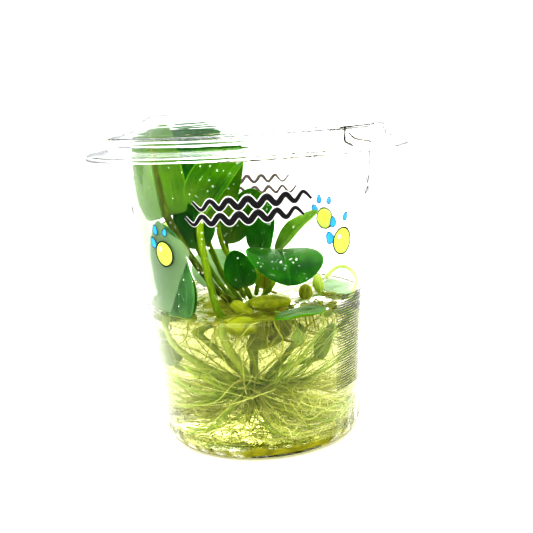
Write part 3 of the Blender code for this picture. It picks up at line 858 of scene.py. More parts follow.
def printed_disc(name, azimuth, middle, radius, outline, clear, hole=0.0):
    """A round or drop-like patch. outline(turn) and hole are its own and its hole's shares of radius."""

    def place(across, along):
        turn = 2 * np.pi * across
        reach = radius * (hole + (1 - hole) * along) * outline(turn)
        return on_wall(middle[0] + reach * np.cos(turn), middle[1] + reach * np.sin(turn), azimuth, clear)

    patch = formed(name, 32, 4, place)
    finish_modifier(patch, "SOLIDIFY", thickness=INK_THICKNESS * MM, offset=0)
    return patch


def printed_line(name, azimuth, route, width, clear):
    """A brush line along a route of (distance, height) points, widest in its middle."""
    fine = through([vec(*point, 0) for point in route], 12 * (len(route) - 1) + 1)
    steps = unit(np.gradient(fine, axis=0))
    lefts = np.stack([-steps[:, 1], steps[:, 0]], -1)

    def place(across, along):
        row = np.rint(along * (len(fine) - 1)).astype(int)
        half = width / 2 * (0.25 + 0.75 * np.sin(np.pi * np.clip(along, 0.02, 0.98)) ** 0.6)
        flat = fine[row, :2] + lefts[row] * ((across * 2 - 1) * half)[:, None]
        return on_wall(flat[:, 0], flat[:, 1], azimuth, clear)

    patch = formed(name, 2, len(fine) - 1, place)
    finish_modifier(patch, "SOLIDIFY", thickness=INK_THICKNESS * MM, offset=0)
    return patch


def whole(turn):
    return np.ones_like(turn)


def drop_shape(lean):
    """A drop whose point leans by so many radians from upright."""
    return lambda turn: 0.62 + 0.38 * np.maximum(0, np.cos(turn - np.pi / 2 - lean)) ** 5


def ripples(height, lines, length, pitch, slope):
    """Routes of ripple lines, one above another, each a row of waves."""
    routes = []
    for i in range(lines):
        start = -length / 2 + (i % 2) * pitch / 2
        base = height + (i - (lines - 1) / 2) * pitch * 0.78
        places = start + np.arange(int(length / pitch * 2)) * pitch / 2
        routes.append([(s, base + slope * s + pitch * 0.22 * (-1) ** k) for k, s in enumerate(places)])
    return routes


# The posies of bubbles and drops: azimuth, distance and height of the bubble, its radius, and its drops
POSIES = [
    (-134, (0, 75.5), 4.6, [(-5.2, 3.2, 2.3, 0.5), (-3.4, 7.8, 2.0, 0.0), (1.6, 7.4, 1.6, -0.4)]),
    (-47, (2.0, 76.5), 4.9, [(-6.0, 1.5, 2.6, 0.5), (-4.8, 6.8, 2.1, 0.2), (1.2, 8.0, 1.7, -0.4)]),
    (48, (-2.0, 75.5), 4.6, [(5.2, 3.2, 2.3, -0.5), (3.2, 7.6, 2.0, 0.0), (-2.0, 7.2, 1.6, 0.4)]),
    (146, (0, 74.5), 4.6, [(5.4, 2.0, 2.4, -0.5), (3.8, 7.0, 1.9, 0.0), (-1.6, 7.6, 1.5, 0.4)]),
]

# The bands of ripples: azimuth, height, number of lines, length, pitch, slope and line width
RIPPLE_BANDS = [
    (-90, 90.8, 2, 44, 6.2, 0.04, 2.0), (90, 90.0, 2, 40, 6.2, 0.0, 1.3),
    (-14, 93.5, 2, 15, 4.6, 0.0, 0.7), (188, 86.5, 2, 14, 4.6, 0.0, 0.7),
]


def make_prints():
    black, pale = ink("ink_black", (0.012, 0.010, 0.012)), ink("ink_pale", (0.62, 0.62, 0.60))
    blue, lime = ink("ink_blue", (0.030, 0.360, 0.760)), ink("ink_lime", (0.560, 0.800, 0.090))
    grey, brown = ink("ink_grey", (0.09, 0.10, 0.09)), ink("ink_brown", (0.120, 0.085, 0.075))
    layers = {"black": [], "pale": [], "blue": [], "lime": [], "brown": []}

    def stamp(layer, *settings):
        layers[layer].append(printed_disc(layer, *settings))

    for azimuth, height, lines, length, pitch, slope, width in RIPPLE_BANDS:
        for route in ripples(height, lines, length, pitch, slope):
            if azimuth < 0:
                layers["pale"].append(printed_line("halo", azimuth, route, width + 0.9, 0.03))
            line = printed_line("line", azimuth, route, width, 0.07)
            layers["black" if azimuth < 0 else "brown"].append(line)
    for azimuth, (s, z), radius, drops in POSIES:
        stamp("black", azimuth, (s, z), radius, whole, 0.05, 1 - 0.55 / radius)
        stamp("lime", azimuth, (s, z), radius - 0.50, whole, 0.05)
        stamp("pale", azimuth, (s - radius * 0.35, z + radius * 0.35), 0.9, whole, 0.09)
        for drop_s, drop_z, size, lean in drops:
            middle, outer, shape = (s + drop_s, z + drop_z), size + 0.35, drop_shape(lean)
            stamp("black", azimuth, middle, outer, shape, 0.05, size / outer)
            stamp("blue", azimuth, middle, size + 0.02, shape, 0.05)
    for (key, parts), material in zip(layers.items(), (black, pale, blue, lime, brown)):
        fit(join(f"print_{key}", parts), material, "clear_plastic")
    bars = []
    for z in np.arange(22.0, 57.0, 0.95):
        route = [(s, z) for s in np.linspace(-9.0, 8.0, 6)]
        bars.append(printed_line("bar", -34.5, route, 0.46, 0.05))
    fit(join("print_ruled_block", bars), grey, "clear_plastic")


# Short stems that leaves, runners and roots grow from

CROWNS = {
    "crown_sunken": dict(centre=vec(-2.3, -8, 21), radii=vec(4.8, 4.2, 3.6)),
    "crown_floating": dict(centre=vec(-1, -11, 49.5), radii=vec(4.4, 4.0, 3.4)),
    "crown_right": dict(centre=vec(18, -9, 48.5), radii=vec(3.6, 3.4, 3.0)),
}


def on_crown(crown, azimuth, rise, clear=1.2):
    """A point just off a crown, azimuth degrees from +X and rise degrees above level."""
    a, e = math.radians(azimuth), math.radians(rise)
    outward = vec(math.cos(e) * math.cos(a), math.cos(e) * math.sin(a), math.sin(e))
    shape = CROWNS[crown]
    reach = 1 / np.linalg.norm(outward / shape["radii"])
    return shape["centre"] + outward * (reach + clear)


def make_crowns(material):
    for name, shape in CROWNS.items():

        def place(across, along):
            turn, rise = 2 * np.pi * across, np.pi * (along - 0.5)
            knob = 1 - 0.07 * (1 + np.sin(5 * turn + 4 * along * np.pi)) - 0.03 * np.sin(11 * turn)
            ball_point = polar(np.cos(rise), turn, np.sin(rise))
            return shape["centre"] + shape["radii"] * ball_point * knob[:, None]

        fit(formed(f"{name}_stem", 32, 18, place), material, "crown_green", name)


# Leaves: stalk is the route from its crown to the blade's foot; blade runs from foot to tip

LEAVES = {
    "leaf_under_lid": dict(
        look="leaf_bright", stalk=[on_crown("crown_floating", 215, 30), vec(-12, -14.4, 55.8),
        vec(-19.6, -16.4, 66.6), vec(-25.8, -18, 78.2)], blade=(vec(-29.2, -18.2, 87),
        vec(-33.6, -13.2, 117)), face=vec(0.67, 0.74, 0), width=27.8, cup=1.2, lobe=0.8, arch=-0.6,
        stalk_r=1.35, blunt=0.13, skew=0.14,
    ),
    "leaf_tall_front": dict(
        look="leaf_mid", stalk=[on_crown("crown_sunken", 245, 45), vec(-5.8, -17, 31), vec(-10.2, -23.4, 42),
        vec(-14.2, -27.4, 57), vec(-16.8, -28.9, 74.8), vec(-17.4, -29.1, 84)], blade=(vec(-15.6, -29, 89.6),
        vec(0.4, -20.6, 108.8)), face=vec(0.12, -0.93, 0.35), width=13.4, cup=1.4, lobe=3.4, arch=1.2,
        stalk_r=1.45, blunt=0.34, skew=-0.70,
    ),
    "leaf_tall_back": dict(
        look="leaf_bright", stalk=[on_crown("crown_floating", 190, 52), vec(-5.9, -12.6, 58.4),
        vec(-7.9, -13.7, 67.9), vec(-10.9, -14.7, 74.8)], blade=(vec(-12.4, -15.2, 83),
        vec(-3.6, -9.5, 112.5)), face=vec(-0.25, -0.95, 0.15), width=12.4, cup=1, lobe=0.6, arch=1,
        stalk_r=0.95, blunt=0.45,
    ),
    "leaf_mid_back": dict(
        look="leaf_mid", stalk=[on_crown("crown_floating", 110, 55), vec(-9.6, -7.4, 59.4),
        vec(-9.6, -6.6, 69)], blade=(vec(-9.9, -6.2, 73.9), vec(3, -2.4, 92.2)), face=vec(-0.1, -0.95, 0.3),
        width=12.6, cup=1, lobe=0.4, arch=0.6, stalk_r=0.75, blunt=0.36, foot_taper=0.4, skew=-0.1,
    ),
    "leaf_centre": dict(
        look="leaf_dark", stalk=[on_crown("crown_floating", 60, 65), vec(1.6, -10, 61)],
        blade=(vec(2.4, -10.5, 70), vec(6.8, -12, 89)), face=vec(-0.55, -0.80, 0.2), width=12.5, cup=0.6,
        fold=1.2, lobe=1, arch=0.8, stalk_r=0.9,
    ),
    "leaf_young_rolled": dict(
        look="leaf_mid", stalk=[on_crown("crown_floating", 20, 45), vec(7.2, -9, 59)],
        blade=(vec(8.2, -10, 69.6), vec(24.2, -15, 85.2)), face=vec(-0.45, -0.55, 0.70), width=8, cup=0.4,
        fold=1.2, lobe=0, arch=1.4, stalk_r=0.9, blunt=0.6,
    ),
    "leaf_broad_front": dict(
        look="leaf_dark", stalk=[on_crown("crown_floating", 330, 45), vec(6.4, -16, 60)],
        blade=(vec(9.4, -18.4, 72.4), vec(12.2, -38.4, 63.8)), face=vec(0.17, -0.36, 0.92), width=27.5,
        cup=1.6, lobe=1, arch=2.2, stalk_r=1.2, blunt=0.44,
    ),
    "leaf_small_dark": dict(
        look="leaf_dark", stalk=[on_crown("crown_floating", 265, 45)], blade=(vec(-3.6, -18.5, 59.8),
        vec(-6.6, -22.5, 73.8)), face=vec(-0.15, -0.92, 0.3), width=11.5, cup=0.8, lobe=1.8, arch=0.6,
        stalk_r=0.9,
    ),
    "leaf_behind_stalk": dict(
        look="leaf_dark", stalk=[on_crown("crown_floating", 180, 15), vec(-13.2, -11.2, 60)],
        blade=(vec(-20.2, -12.6, 73.5), vec(-21.4, -10.2, 98)), face=vec(0.15, -0.95, 0.2), width=15.5,
        cup=1, lobe=0.5, arch=0.8, stalk_r=1,
    ),
    "leaf_back_stalk": dict(
        look="leaf_dark", stalk=[on_crown("crown_floating", 140, 10), vec(-12.6, -2.8, 62),
        vec(-18.8, -2.4, 80)], blade=(vec(-20.2, -2.2, 87), vec(-19.8, 3.2, 117.4)),
        face=vec(0.1, -0.95, 0.25), width=30, cup=1, lobe=0.8, arch=0.8, stalk_r=1.1, blunt=0.28,
    ),
    "leaf_left_wall": dict(
        look="leaf_pale", stalk=[on_crown("crown_sunken", 195, 40), vec(-12.5, -12.5, 28),
        vec(-20.5, -14, 33.5), vec(-28, -15, 40.5)], blade=(vec(-32, -17.9, 48.9), vec(-30.6, -27, 85.5)),
        face=vec(-0.82, -0.57, 0), width=31, cup=-4.2, lobe=0, arch=1.6, stalk_r=1.35, blunt=0.36,
    ),
    "leaf_left_inner": dict(
        look="leaf_mid", stalk=[on_crown("crown_sunken", 160, 60), vec(-8.8, -9.2, 31),
        vec(-16.6, -12.4, 41.5)], blade=(vec(-25.4, -16.8, 49.6), vec(-27.4, -21.4, 77.6)),
        face=vec(-0.80, -0.60, 0.05), width=16.5, cup=-1.2, lobe=0.5, arch=0.4, stalk_r=1.1,
    ),
    "leaf_left_sunken": dict(
        look="leaf_mid", stalk=[on_crown("crown_sunken", 165, 15), vec(-15.5, -5.6, 26)],
        blade=(vec(-25.5, -6, 30), vec(-35.2, -7.5, 44.5)), face=vec(-0.45, -0.72, 0.45), width=11, cup=-0.8,
        lobe=1, arch=0.4, stalk_r=0.9,
    ),
    "leaf_floating_right": dict(
        look="leaf_mid", stalk=[], blade=(vec(24.2, -26.3, 52.3), vec(6.5, -38, 52.3)),
        face=vec(0, -0.05, 1), width=10, cup=0.3, lobe=0, arch=0.2, stalk_r=0.6,
    ),
    "leaf_right_sunken": dict(
        look="leaf_yellowed", stalk=[on_crown("crown_sunken", 330, 40), vec(7.5, -11, 29)],
        blade=(vec(18.4, -14, 31.5), vec(25, -18.4, 45)), face=vec(-0.35, -0.85, 0.2), width=7, cup=0.6,
        lobe=0, arch=1.4, stalk_r=1,
    ),
    "leaf_front_sunken": dict(
        look="leaf_mid", stalk=[], blade=(vec(13, -29.4, 40.8), vec(13.8, -30.4, 46.8)),
        face=vec(0.1, -0.95, 0.2), width=5, cup=0.4, lobe=0, arch=0.3, stalk_r=0.6,
    ),
    "leaf_back_left": dict(
        look="leaf_pale", stalk=[on_crown("crown_floating", 120, 0), vec(-9, 8, 49.5)],
        blade=(vec(-11.5, 18.5, 53.2), vec(-22.5, 27.5, 65)), face=vec(0.35, -0.75, 0.6), width=23, cup=0.8,
        lobe=1, arch=0.5, stalk_r=0.9,
    ),
    "leaf_back_right": dict(
        look="leaf_pale", stalk=[on_crown("crown_right", 45, 30)], blade=(vec(27, -3.2, 52.5),
        vec(38.6, 2, 53)), face=vec(0, -0.1, 1), width=17, cup=0.6, lobe=1, arch=0.4, stalk_r=0.8,
    ),
    "old_leaf_left": dict(
        look="leaf_olive", stalk=[on_crown("crown_floating", 200, 0)], blade=(vec(-8.6, -15.8, 52),
        vec(-19.4, -17, 52.8)), face=vec(0, -0.15, 0.98), width=8.4, cup=0.3, lobe=0, arch=0.3, stalk_r=0.8,
    ),
    "old_leaf_centre": dict(
        look="leaf_olive", stalk=[on_crown("crown_floating", 35, 25)], blade=(vec(3.5, -4.5, 55.2),
        vec(3.6, -2, 65.5)), face=vec(-0.1, -0.9, 0.4), width=8.5, cup=0.6, lobe=0.5, arch=0.5, stalk_r=0.8,
    ),
    "old_leaf_sunken": dict(
        look="leaf_olive", stalk=[on_crown("crown_sunken", 290, 55), vec(-1.5, -14, 31)],
        blade=(vec(-3.4, -17.6, 39), vec(10.6, -20, 44)), face=vec(0.10, -0.70, 0.70), width=8, cup=0.5,
        lobe=0.6, arch=0.5, stalk_r=0.8,
    ),
}


def blade_line(leaf, t):
    """The midrib's points at t, from 0 to 1, with the direction along, to the side and up at each."""
    t = t[:, None]
    foot, tip = leaf["blade"]
    face = unit(leaf["face"])
    middle = (foot + tip) / 2 + 2 * leaf["arch"] * face
    points = (1 - t) ** 2 * foot + 2 * t * (1 - t) * middle + t * t * tip
    along = unit((1 - t) * (middle - foot) + t * (tip - middle))
    side = unit(np.cross(along, face))
    return points, along, side, np.cross(side, along)


def blade_half(leaf, t):
    """Half the blade's width at t, from 0 at its foot to 1 at its tip."""
    power = leaf.get("blunt", 0.55) + leaf.get("foot_taper", 0) * (1 - t) ** 2
    return leaf["width"] / 2 * np.sin(np.pi * np.clip(t, 0, 0.9995) ** 0.8) ** power


def on_blade(leaf, across, t, lift=0.0):
    """The point on a blade's middle layer at across, from -1 to 1, and t. lift is the distance above it."""
    points, along, side, up = blade_line(leaf, t)
    half = np.maximum(blade_half(leaf, t), 0.7 * leaf["stalk_r"] * (1 - t) + 0.05)
    share = half / (leaf["width"] / 2)
    height = (leaf["cup"] * across**2 + leaf.get("fold", 0) * np.abs(across)) * share
    height = height - 0.35 * np.exp(-((across / 0.10) ** 2)) * share
    phase = leaf["width"] + leaf["arch"] * 3
    height = height + 0.30 * across**2 * np.sin(9 * t + phase + 2 * np.sign(across)) * share
    height = height + 0.12 * np.sin(across * 7 + phase) * np.sin(t * 11 + phase) * share
    back = leaf["lobe"] * across**2 * share * (1 - t) ** 2
    reach = half * across * (1 + leaf.get("skew", 0) * np.sign(across))
    return (
        points
        + side * reach[:, None]
        + up * (height + lift)[:, None]
        - along * back[:, None]
    )


# Leaves whose midrib stands out below the blade, thick and olive
SHOWN_RIBS = ("leaf_under_lid",)


def make_leaf(name, leaf, upper, under):
    """The blade, with real thickness, and its round stalk, which runs on under the blade as the midrib."""

    def place(across, along):
        return on_blade(leaf, across * 2 - 1, (1 - np.cos(np.pi * along)) / 2)

    blade = formed(f"{name}_blade", BLADE_COLUMNS, BLADE_ROWS, place)
    up = unit(leaf["face"])
    blade.data.materials.append(upper)
    blade.data.materials.append(under)
    if blade.data.polygons[len(blade.data.polygons) // 2].normal @ Vector(up) < 0:
        edit(blade)
        bpy.ops.mesh.flip_normals()
        bpy.ops.object.mode_set(mode="OBJECT")
    finish_modifier(blade, "SOLIDIFY", thickness=LEAF_THICKNESS * MM, offset=-0.2, material_offset=1)
    finish_modifier(blade, "SUBSURF", levels=1, render_levels=1)
    bpy.ops.object.shade_smooth()
    t = np.linspace(0.0, 0.93, 18)
    points, _, _, ups = blade_line(leaf, t)
    rib = points - ups * (0.30 + 0.25 * (1 - t))[:, None]
    shown = name in SHOWN_RIBS
    radii = leaf["stalk_r"] * ((1 - 0.45 * t) if shown else 0.80 * (1 - t) ** 1.8 + 0.16)
    rise = 3.0
    if leaf["stalk"]:
        rise = 1.55 if shown else 2.0
        route = through([*leaf["stalk"], points[0] - ups[0] * 0.55], STALK_ROWS)
        sway = np.linspace(0, 1, STALK_ROWS)
        swell = leaf["stalk_r"] * (0.96 + 0.10 * np.sin(5 * sway + leaf["width"]) * np.sin(np.pi * sway))
        rib, radii = np.vstack([route[:-1], rib]), np.concatenate([swell[:-1], radii])
    hint = tuple(unit(leaf["face"]) + 0.1)
    stalk = rounded_tube(f"{name}_stalk", rib, radii, rise=rise, shift=2.0 if shown else 0.0, hint=hint)
    stalk.data.materials.append(upper)
    whole_leaf = join(f"{name}_plant", [blade, stalk])
    return fit(whole_leaf, None, leaf["look"], name)


# Leaves whose finish is another one than their slot's
OWN_FINISHES = {
    "leaf_young_rolled": "leaf_young", "leaf_back_left": "leaf_frosted", "leaf_back_right": "leaf_frosted",
    # leaf_shaded is leaf_dark made lighter as painted light, for leaves that sit in shade
    "leaf_behind_stalk": "leaf_shaded", "leaf_centre": "leaf_shaded", "leaf_small_dark": "leaf_shaded",
    "leaf_back_stalk": "leaf_shaded",
}


def make_leaves():
    finishes = {kind: (leaf_finish(kind), leaf_finish(kind, under=True)) for kind in LEAF_KINDS}
    for name, leaf in LEAVES.items():
        make_leaf(name, leaf, *finishes[OWN_FINISHES.get(name, leaf["look"])])


# Swollen, yellowed leaves and buds at the water's surface: finish, middle, half sizes and direction

SWOLLEN = {
    "swollen_leaf_front": ("yellow", vec(-5.2, -31.5, 48.9), (6.4, 4, 3.2), vec(1, -0.1, -0.05)),
    "swollen_leaf_left": ("yellow", vec(-5, -23.7, 52.2), (4.8, 3, 2.8), vec(0.8, -0.2, -0.55)),
    "swollen_leaf_middle": ("yellow", vec(5, -21.6, 53.8), (7.8, 3.2, 3.1), vec(1, 0.15, -0.05)),
    "bud_yellow": ("yellow", vec(18.6, -13, 55), (2.9, 2.6, 2.7), vec(0.2, 0, 1)),
    "bud_pale": ("pale", vec(23.6, -7.5, 56.4), (3.7, 2.1, 2.1), vec(-0.15, 0.1, 1)),
    "bract_right": ("olive", vec(27.2, -12, 53.6), (2.9, 1.6, 0.9), vec(1, 0.1, -0.15)),
}


def make_swollen():
    yellow = spongy_finish("swollen_yellow", (0.18, 0.23, 0.001), (0.44, 0.48, 0.004), (0.60, 0.64, 0.12))
    pale = spongy_finish("swollen_pale", (0.36, 0.50, 0.05), (0.56, 0.68, 0.14), (0.70, 0.80, 0.30))
    olive = spongy_finish("swollen_olive", (0.16, 0.20, 0.003), (0.36, 0.38, 0.015), (0.50, 0.52, 0.14))
    finishes = {
        "yellow": (yellow, "leaf_yellowed"), "pale": (pale, "runner_green"), "olive": (olive, "leaf_olive"),
    }
    for name, (look, centre, (length, width, height), direction) in SWOLLEN.items():
        along = unit(direction)
        side = unit(np.cross(vec(0, 0.3, 1), along))
        up = np.cross(along, side)
        phase = length + width

        def place(across, way):
            turn, rise = 2 * np.pi * across, np.pi * (way - 0.5)
            knobs = 1 + 0.05 * np.sin(3 * turn + phase) + 0.02 * np.sin(7 * turn + 5 * way)
            flank = np.cos(rise) ** 0.9 * knobs
            bend = 0.5 * np.sin(rise) ** 2
            return (
                centre
                + along * (np.sin(rise) * length)[:, None]
                + side * (flank * np.cos(turn) * width * 0.97)[:, None]
                + up * (flank * np.sin(turn) * height * 0.97 + bend * 0.4)[:, None]
            )

        material, slot = finishes[look]
        fit(formed(f"{name}_body", 28, 20, place), material, slot, name)


# Runners and thick roots: route, radius at the start and at the end

RUNNERS = {
    "runner_loop": dict(
        route=[vec(26.2, -6.5, 58.2), vec(30.6, -5.6, 61.8), vec(35, -6, 61.8), vec(38, -8, 57.6),
        vec(35.2, -10.5, 51.5), vec(30, -13, 45.5), vec(24.5, -12, 41.5)], radii=(0.75, 0.7),
    ),
    "runner_right": dict(
        route=[on_crown("crown_sunken", 10, 40, 1), vec(8, -6, 32.5), on_crown("crown_right", 215, -40, 1)],
        radii=(1.1, 1),
    ),
    "runner_up": dict(
        route=[on_crown("crown_sunken", 80, 65, 1), vec(-1.6, -5.6, 36),
        on_crown("crown_floating", 95, -55, 1)], radii=(1.3, 1.2),
    ),
    "root_thick_left": dict(
        route=[on_crown("crown_sunken", 232, -12, 1), vec(-10.5, -18.5, 15), vec(-17.5, -25, 9.8),
        vec(-27, -20, 8.4)], radii=(1.1, 0.5),
    ),
    "root_bright_left": dict(
        route=[on_crown("crown_sunken", 212, 8, 1), vec(-15, -17.5, 21), vec(-26, -20.5, 25.5),
        vec(-34, -13.5, 32)], radii=(1, 0.45),
    ),
}


def make_runners(material):
    for name, runner in RUNNERS.items():
        points = through(runner["route"], 48)
        share = np.linspace(0, 1, len(points))
        first, last = runner["radii"]
        radii = (first + (last - first) * share) * (1 + 0.06 * np.sin(share * 23 + first * 9))
        fit(rounded_tube(f"{name}_stem", points, radii, rise=2.0), material, "runner_green", name)


# Fine roots, in bunches: azimuth and rise of the start on the crown, three points passed, and width

ROOT_BUNCHES = [
    ((252, -30), [vec(-4, -19, 13.4), vec(-7, -27.5, 10), vec(-15, -29.5, 9.6)], 2.8),
    ((285, -22), [vec(2, -19, 15.5), vec(6, -28, 11.4), vec(16, -28, 10)], 3.2),
    ((318, 0), [vec(8, -17, 19.5), vec(18, -22.5, 17), vec(27.5, -17, 14)], 3.4),
    ((350, 5), [vec(11, -9, 21.5), vec(22, -8.5, 21), vec(31.5, 0, 24)], 3.4),
    ((25, -8), [vec(8, 0, 18.5), vec(18, 9, 15), vec(25.5, 17.5, 13.4)], 3.4),
    ((75, -10), [vec(0, 7, 18.5), vec(3, 18, 15), vec(-2, 29, 14)], 3.4),
    ((120, 0), [vec(-8, 4, 20.5), vec(-17, 13, 18), vec(-25, 19, 18)], 3.2),
    ((165, -22), [vec(-13, -3, 16.5), vec(-23, 1, 13), vec(-30, 7, 12)], 3),
    ((205, -38), [vec(-10, -10, 13), vec(-16, -10, 10.6), vec(-25, -10.5, 9.8)], 2.4),
    ((330, -50), [vec(5, -9.5, 12.5), vec(12, -8.5, 10.4), vec(22, -7, 9.8)], 2.9),
]
MAIN_STRANDS = 4
FINE_STRANDS = 15
STRAND_POINTS = 30
ROOT_REACH = 35.4
ABOVE_BED = 5.6


def in_disc(reach):
    """A random azimuth and radius, evenly spread over a disc."""
    return rng.uniform(0, 2 * math.pi), reach * math.sqrt(rng.uniform(0, 1))


def kept_in(route, floor):
    """A route kept within the roots' reach of the axis, and above the bed."""
    out = np.maximum(np.hypot(route[:, 0], route[:, 1]), 0.1)
    route[:, :2] *= np.minimum(1, ROOT_REACH / out)[:, None]
    route[:, 2] = np.maximum(route[:, 2], floor)
    return route


def bunch_strands(start, route, width):
    """Routes and thicknesses of a bunch's strands: a few thick ones, and many fine ones that stray."""
    corners = through([on_crown("crown_sunken", *start, -0.4), *route], 6)
    share = np.linspace(0, 1, STRAND_POINTS)[:, None]
    routes, thicknesses = [], []
    for i in range(MAIN_STRANDS + FINE_STRANDS):
        main = i < MAIN_STRANDS
        wide = width * (0.8 if main else rng.uniform(0.6, 3.4))
        stray = wide * np.linspace(0, 1, 6)[:, None] ** 0.8
        drift = rng.normal(0, 1, 3).clip(-1.6, 1.6) + rng.normal(0, 0.8, (6, 3))
        astray = corners + drift * stray * vec(0.9, 0.9, 0.8)
        astray[0] += rng.normal(0, 0.8, 3)
        strand = through(list(astray), STRAND_POINTS)
        curl = rng.uniform(0.2, 2.4) * np.sin(share * rng.uniform(4, 15) + rng.uniform(0, 6)) * share
        routes.append(kept_in(strand + curl * unit(rng.normal(0, 1, 3)), ABOVE_BED + rng.uniform(0, 2.0)))
        thick = rng.uniform(0.34, 0.62) if main else rng.choice([0.10, 0.17, 0.28], p=[0.45, 0.35, 0.20])
        thicknesses.append(thick * (1 - 0.6 * share[:, 0]))
    return routes, thicknesses


def wandering_strands(count):
    """Long fine roots that cross the others: each from the crown to somewhere by the wall."""
    routes, thicknesses = [], []
    for _ in range(count):
        azimuth = math.radians(rng.uniform(-180, 180))
        height = rng.choice([rng.uniform(7, 16), rng.uniform(14, 44)], p=[0.35, 0.65])
        reach = rng.uniform(24, ROOT_REACH)
        end = polar(reach, azimuth, height)
        start = on_crown("crown_sunken", rng.uniform(0, 360), rng.uniform(-30, 40), -0.3)
        middle = start * 0.5 + end * 0.5 + rng.normal(0, 4.0, 3) + vec(0, 0, 2.0)
        turn = azimuth + rng.uniform(-0.6, 0.6)
        last = polar(35, turn, max(height + rng.normal(0, 5), 6))
        route = through([start, middle, end, last], STRAND_POINTS)
        routes.append(kept_in(route, ABOVE_BED + rng.uniform(0, 1.5)))
        thick = rng.choice([0.10, 0.17, 0.30], p=[0.45, 0.35, 0.20])
        thicknesses.append(thick * np.linspace(1, 0.5, STRAND_POINTS))
    return routes, thicknesses


# Single thick roots, each with a few fine ones beside it: azimuth, reach and height of the points it passes
ROOT_ARCS = [
    [(-152, 20, 20), (-166, 34, 25)], [(-142, 18, 17), (-153, 30, 15), (-170, 34.5, 20)],
    [(-112, 16, 13), (-128, 29, 8), (-140, 34, 7)], [(-62, 18, 13), (-42, 30, 9), (-24, 34.5, 14)],
    [(-52, 16, 18), (-36, 28, 12), (-18, 34.5, 19)], [(-44, 14, 25), (-40, 25, 34), (-36, 33, 43)],
    [(-58, 13, 25), (-52, 23, 35), (-46, 32, 45)], [(-30, 14, 22), (-26, 25, 28), (-21, 34, 36)],
    [(-78, 12, 21), (-68, 21, 29), (-60, 31, 36)], [(-95, 12, 15), (-84, 26, 9), (-70, 34, 8)],
    [(-125, 14, 20), (-132, 26, 27), (-138, 34, 33)], [(-165, 16, 26), (-176, 28, 30), (170, 33, 36)],
]


def arc_strands():
    """Routes and thicknesses of the single roots and of those beside them."""
    routes, thicknesses = [], []
    for arc in ROOT_ARCS:
        stops = [polar(reach, math.radians(azimuth), z) for azimuth, reach, z in arc]
        for i in range(6):
            start = on_crown("crown_sunken", arc[0][0] + rng.normal(0, 12), rng.uniform(-20, 30), -0.3)
            astray = [stop + rng.normal(0, 0.2 if i == 0 else 1.8, 3) for stop in stops]
            routes.append(kept_in(through([start, *astray], STRAND_POINTS), ABOVE_BED))
            thick = rng.uniform(0.42, 0.60) if i == 0 else rng.uniform(0.10, 0.30)
            thicknesses.append(thick * np.linspace(1.1, 0.7, STRAND_POINTS))
    return routes, thicknesses


def hanging_strands(count):
    """Fine roots that hang from the floating parts."""
    routes, thicknesses = [], []
    for _ in range(count):
        azimuth, reach = in_disc(30)
        start = polar(reach, azimuth, WATER_LEVEL - 1.2) + vec(2, -4, 0)
        length = rng.choice([rng.uniform(4, 12), rng.uniform(12, 30)], p=[0.6, 0.4])
        end = start + vec(*(rng.normal(0, 0.8, 2) * length), -length * 0.8)
        middle = start * 0.5 + end * 0.5 + rng.normal(0, 0.22, 3) * length
        routes.append(kept_in(through([start, middle, end], 16), 6.0))
        thicknesses.append(rng.choice([0.10, 0.16, 0.28], p=[0.4, 0.4, 0.2]) * np.linspace(1, 0.4, 16))
    return routes, thicknesses


def bed_strands(count):
    """Short curled bits of root and old leaf in a mat on the bed."""
    routes, thicknesses = [], []
    for _ in range(count):
        azimuth, reach = in_disc(32.5)
        start = polar(reach, azimuth, 5.0 + rng.uniform(0, 0.9))
        heading, bend = rng.uniform(0, 2 * math.pi), rng.uniform(-1.4, 1.4)
        turn = heading + bend * np.linspace(0, 1, 10)
        step = rng.uniform(0.25, 0.8)
        route = start + step * np.cumsum(polar(1, turn, rng.normal(0, 0.12, 10)), 0)
        routes.append(kept_in(route, 4.7))
        thicknesses.append(rng.uniform(0.09, 0.26) * np.ones(10))
    return routes, thicknesses


def make_roots(material):
    for i, bunch in enumerate(ROOT_BUNCHES, 1):
        name = f"root_bunch_{i}"
        fit(strands(f"{name}_strands", *bunch_strands(*bunch)), material, "root_pale", name)
    olive = root_finish("root_olive", (0.34, 0.36, 0.03), (0.62, 0.64, 0.14), 0.45)
    fit(strands("roots_wandering", *wandering_strands(100)), material, "root_pale")
    fit(strands("roots_on_bed", *bed_strands(260)), material, "root_pale")
    bright = root_finish("root_bright", (0.54, 0.66, 0.16), (0.84, 0.92, 0.44), 0.50)
    fit(strands("roots_single", *arc_strands()), bright, "root_pale")
    fit(strands("roots_hanging", *hanging_strands(330)), olive, "root_pale")


# Drops of water on leaves and on the wall

DROPS_ON_LEAVES = {
    "leaf_under_lid": 22, "leaf_tall_front": 46, "leaf_tall_back": 26, "leaf_mid_back": 34, "leaf_centre": 34,
    "leaf_young_rolled": 12, "leaf_broad_front": 80, "leaf_small_dark": 20, "leaf_behind_stalk": 24,
    "leaf_back_stalk": 14, "leaf_left_wall": 40, "leaf_left_inner": 12, "leaf_back_left": 14,
    "leaf_back_right": 10,
}
DROPS_ON_STALKS = {"leaf_under_lid": 26, "leaf_tall_front": 20, "leaf_tall_back": 8, "leaf_behind_stalk": 8}


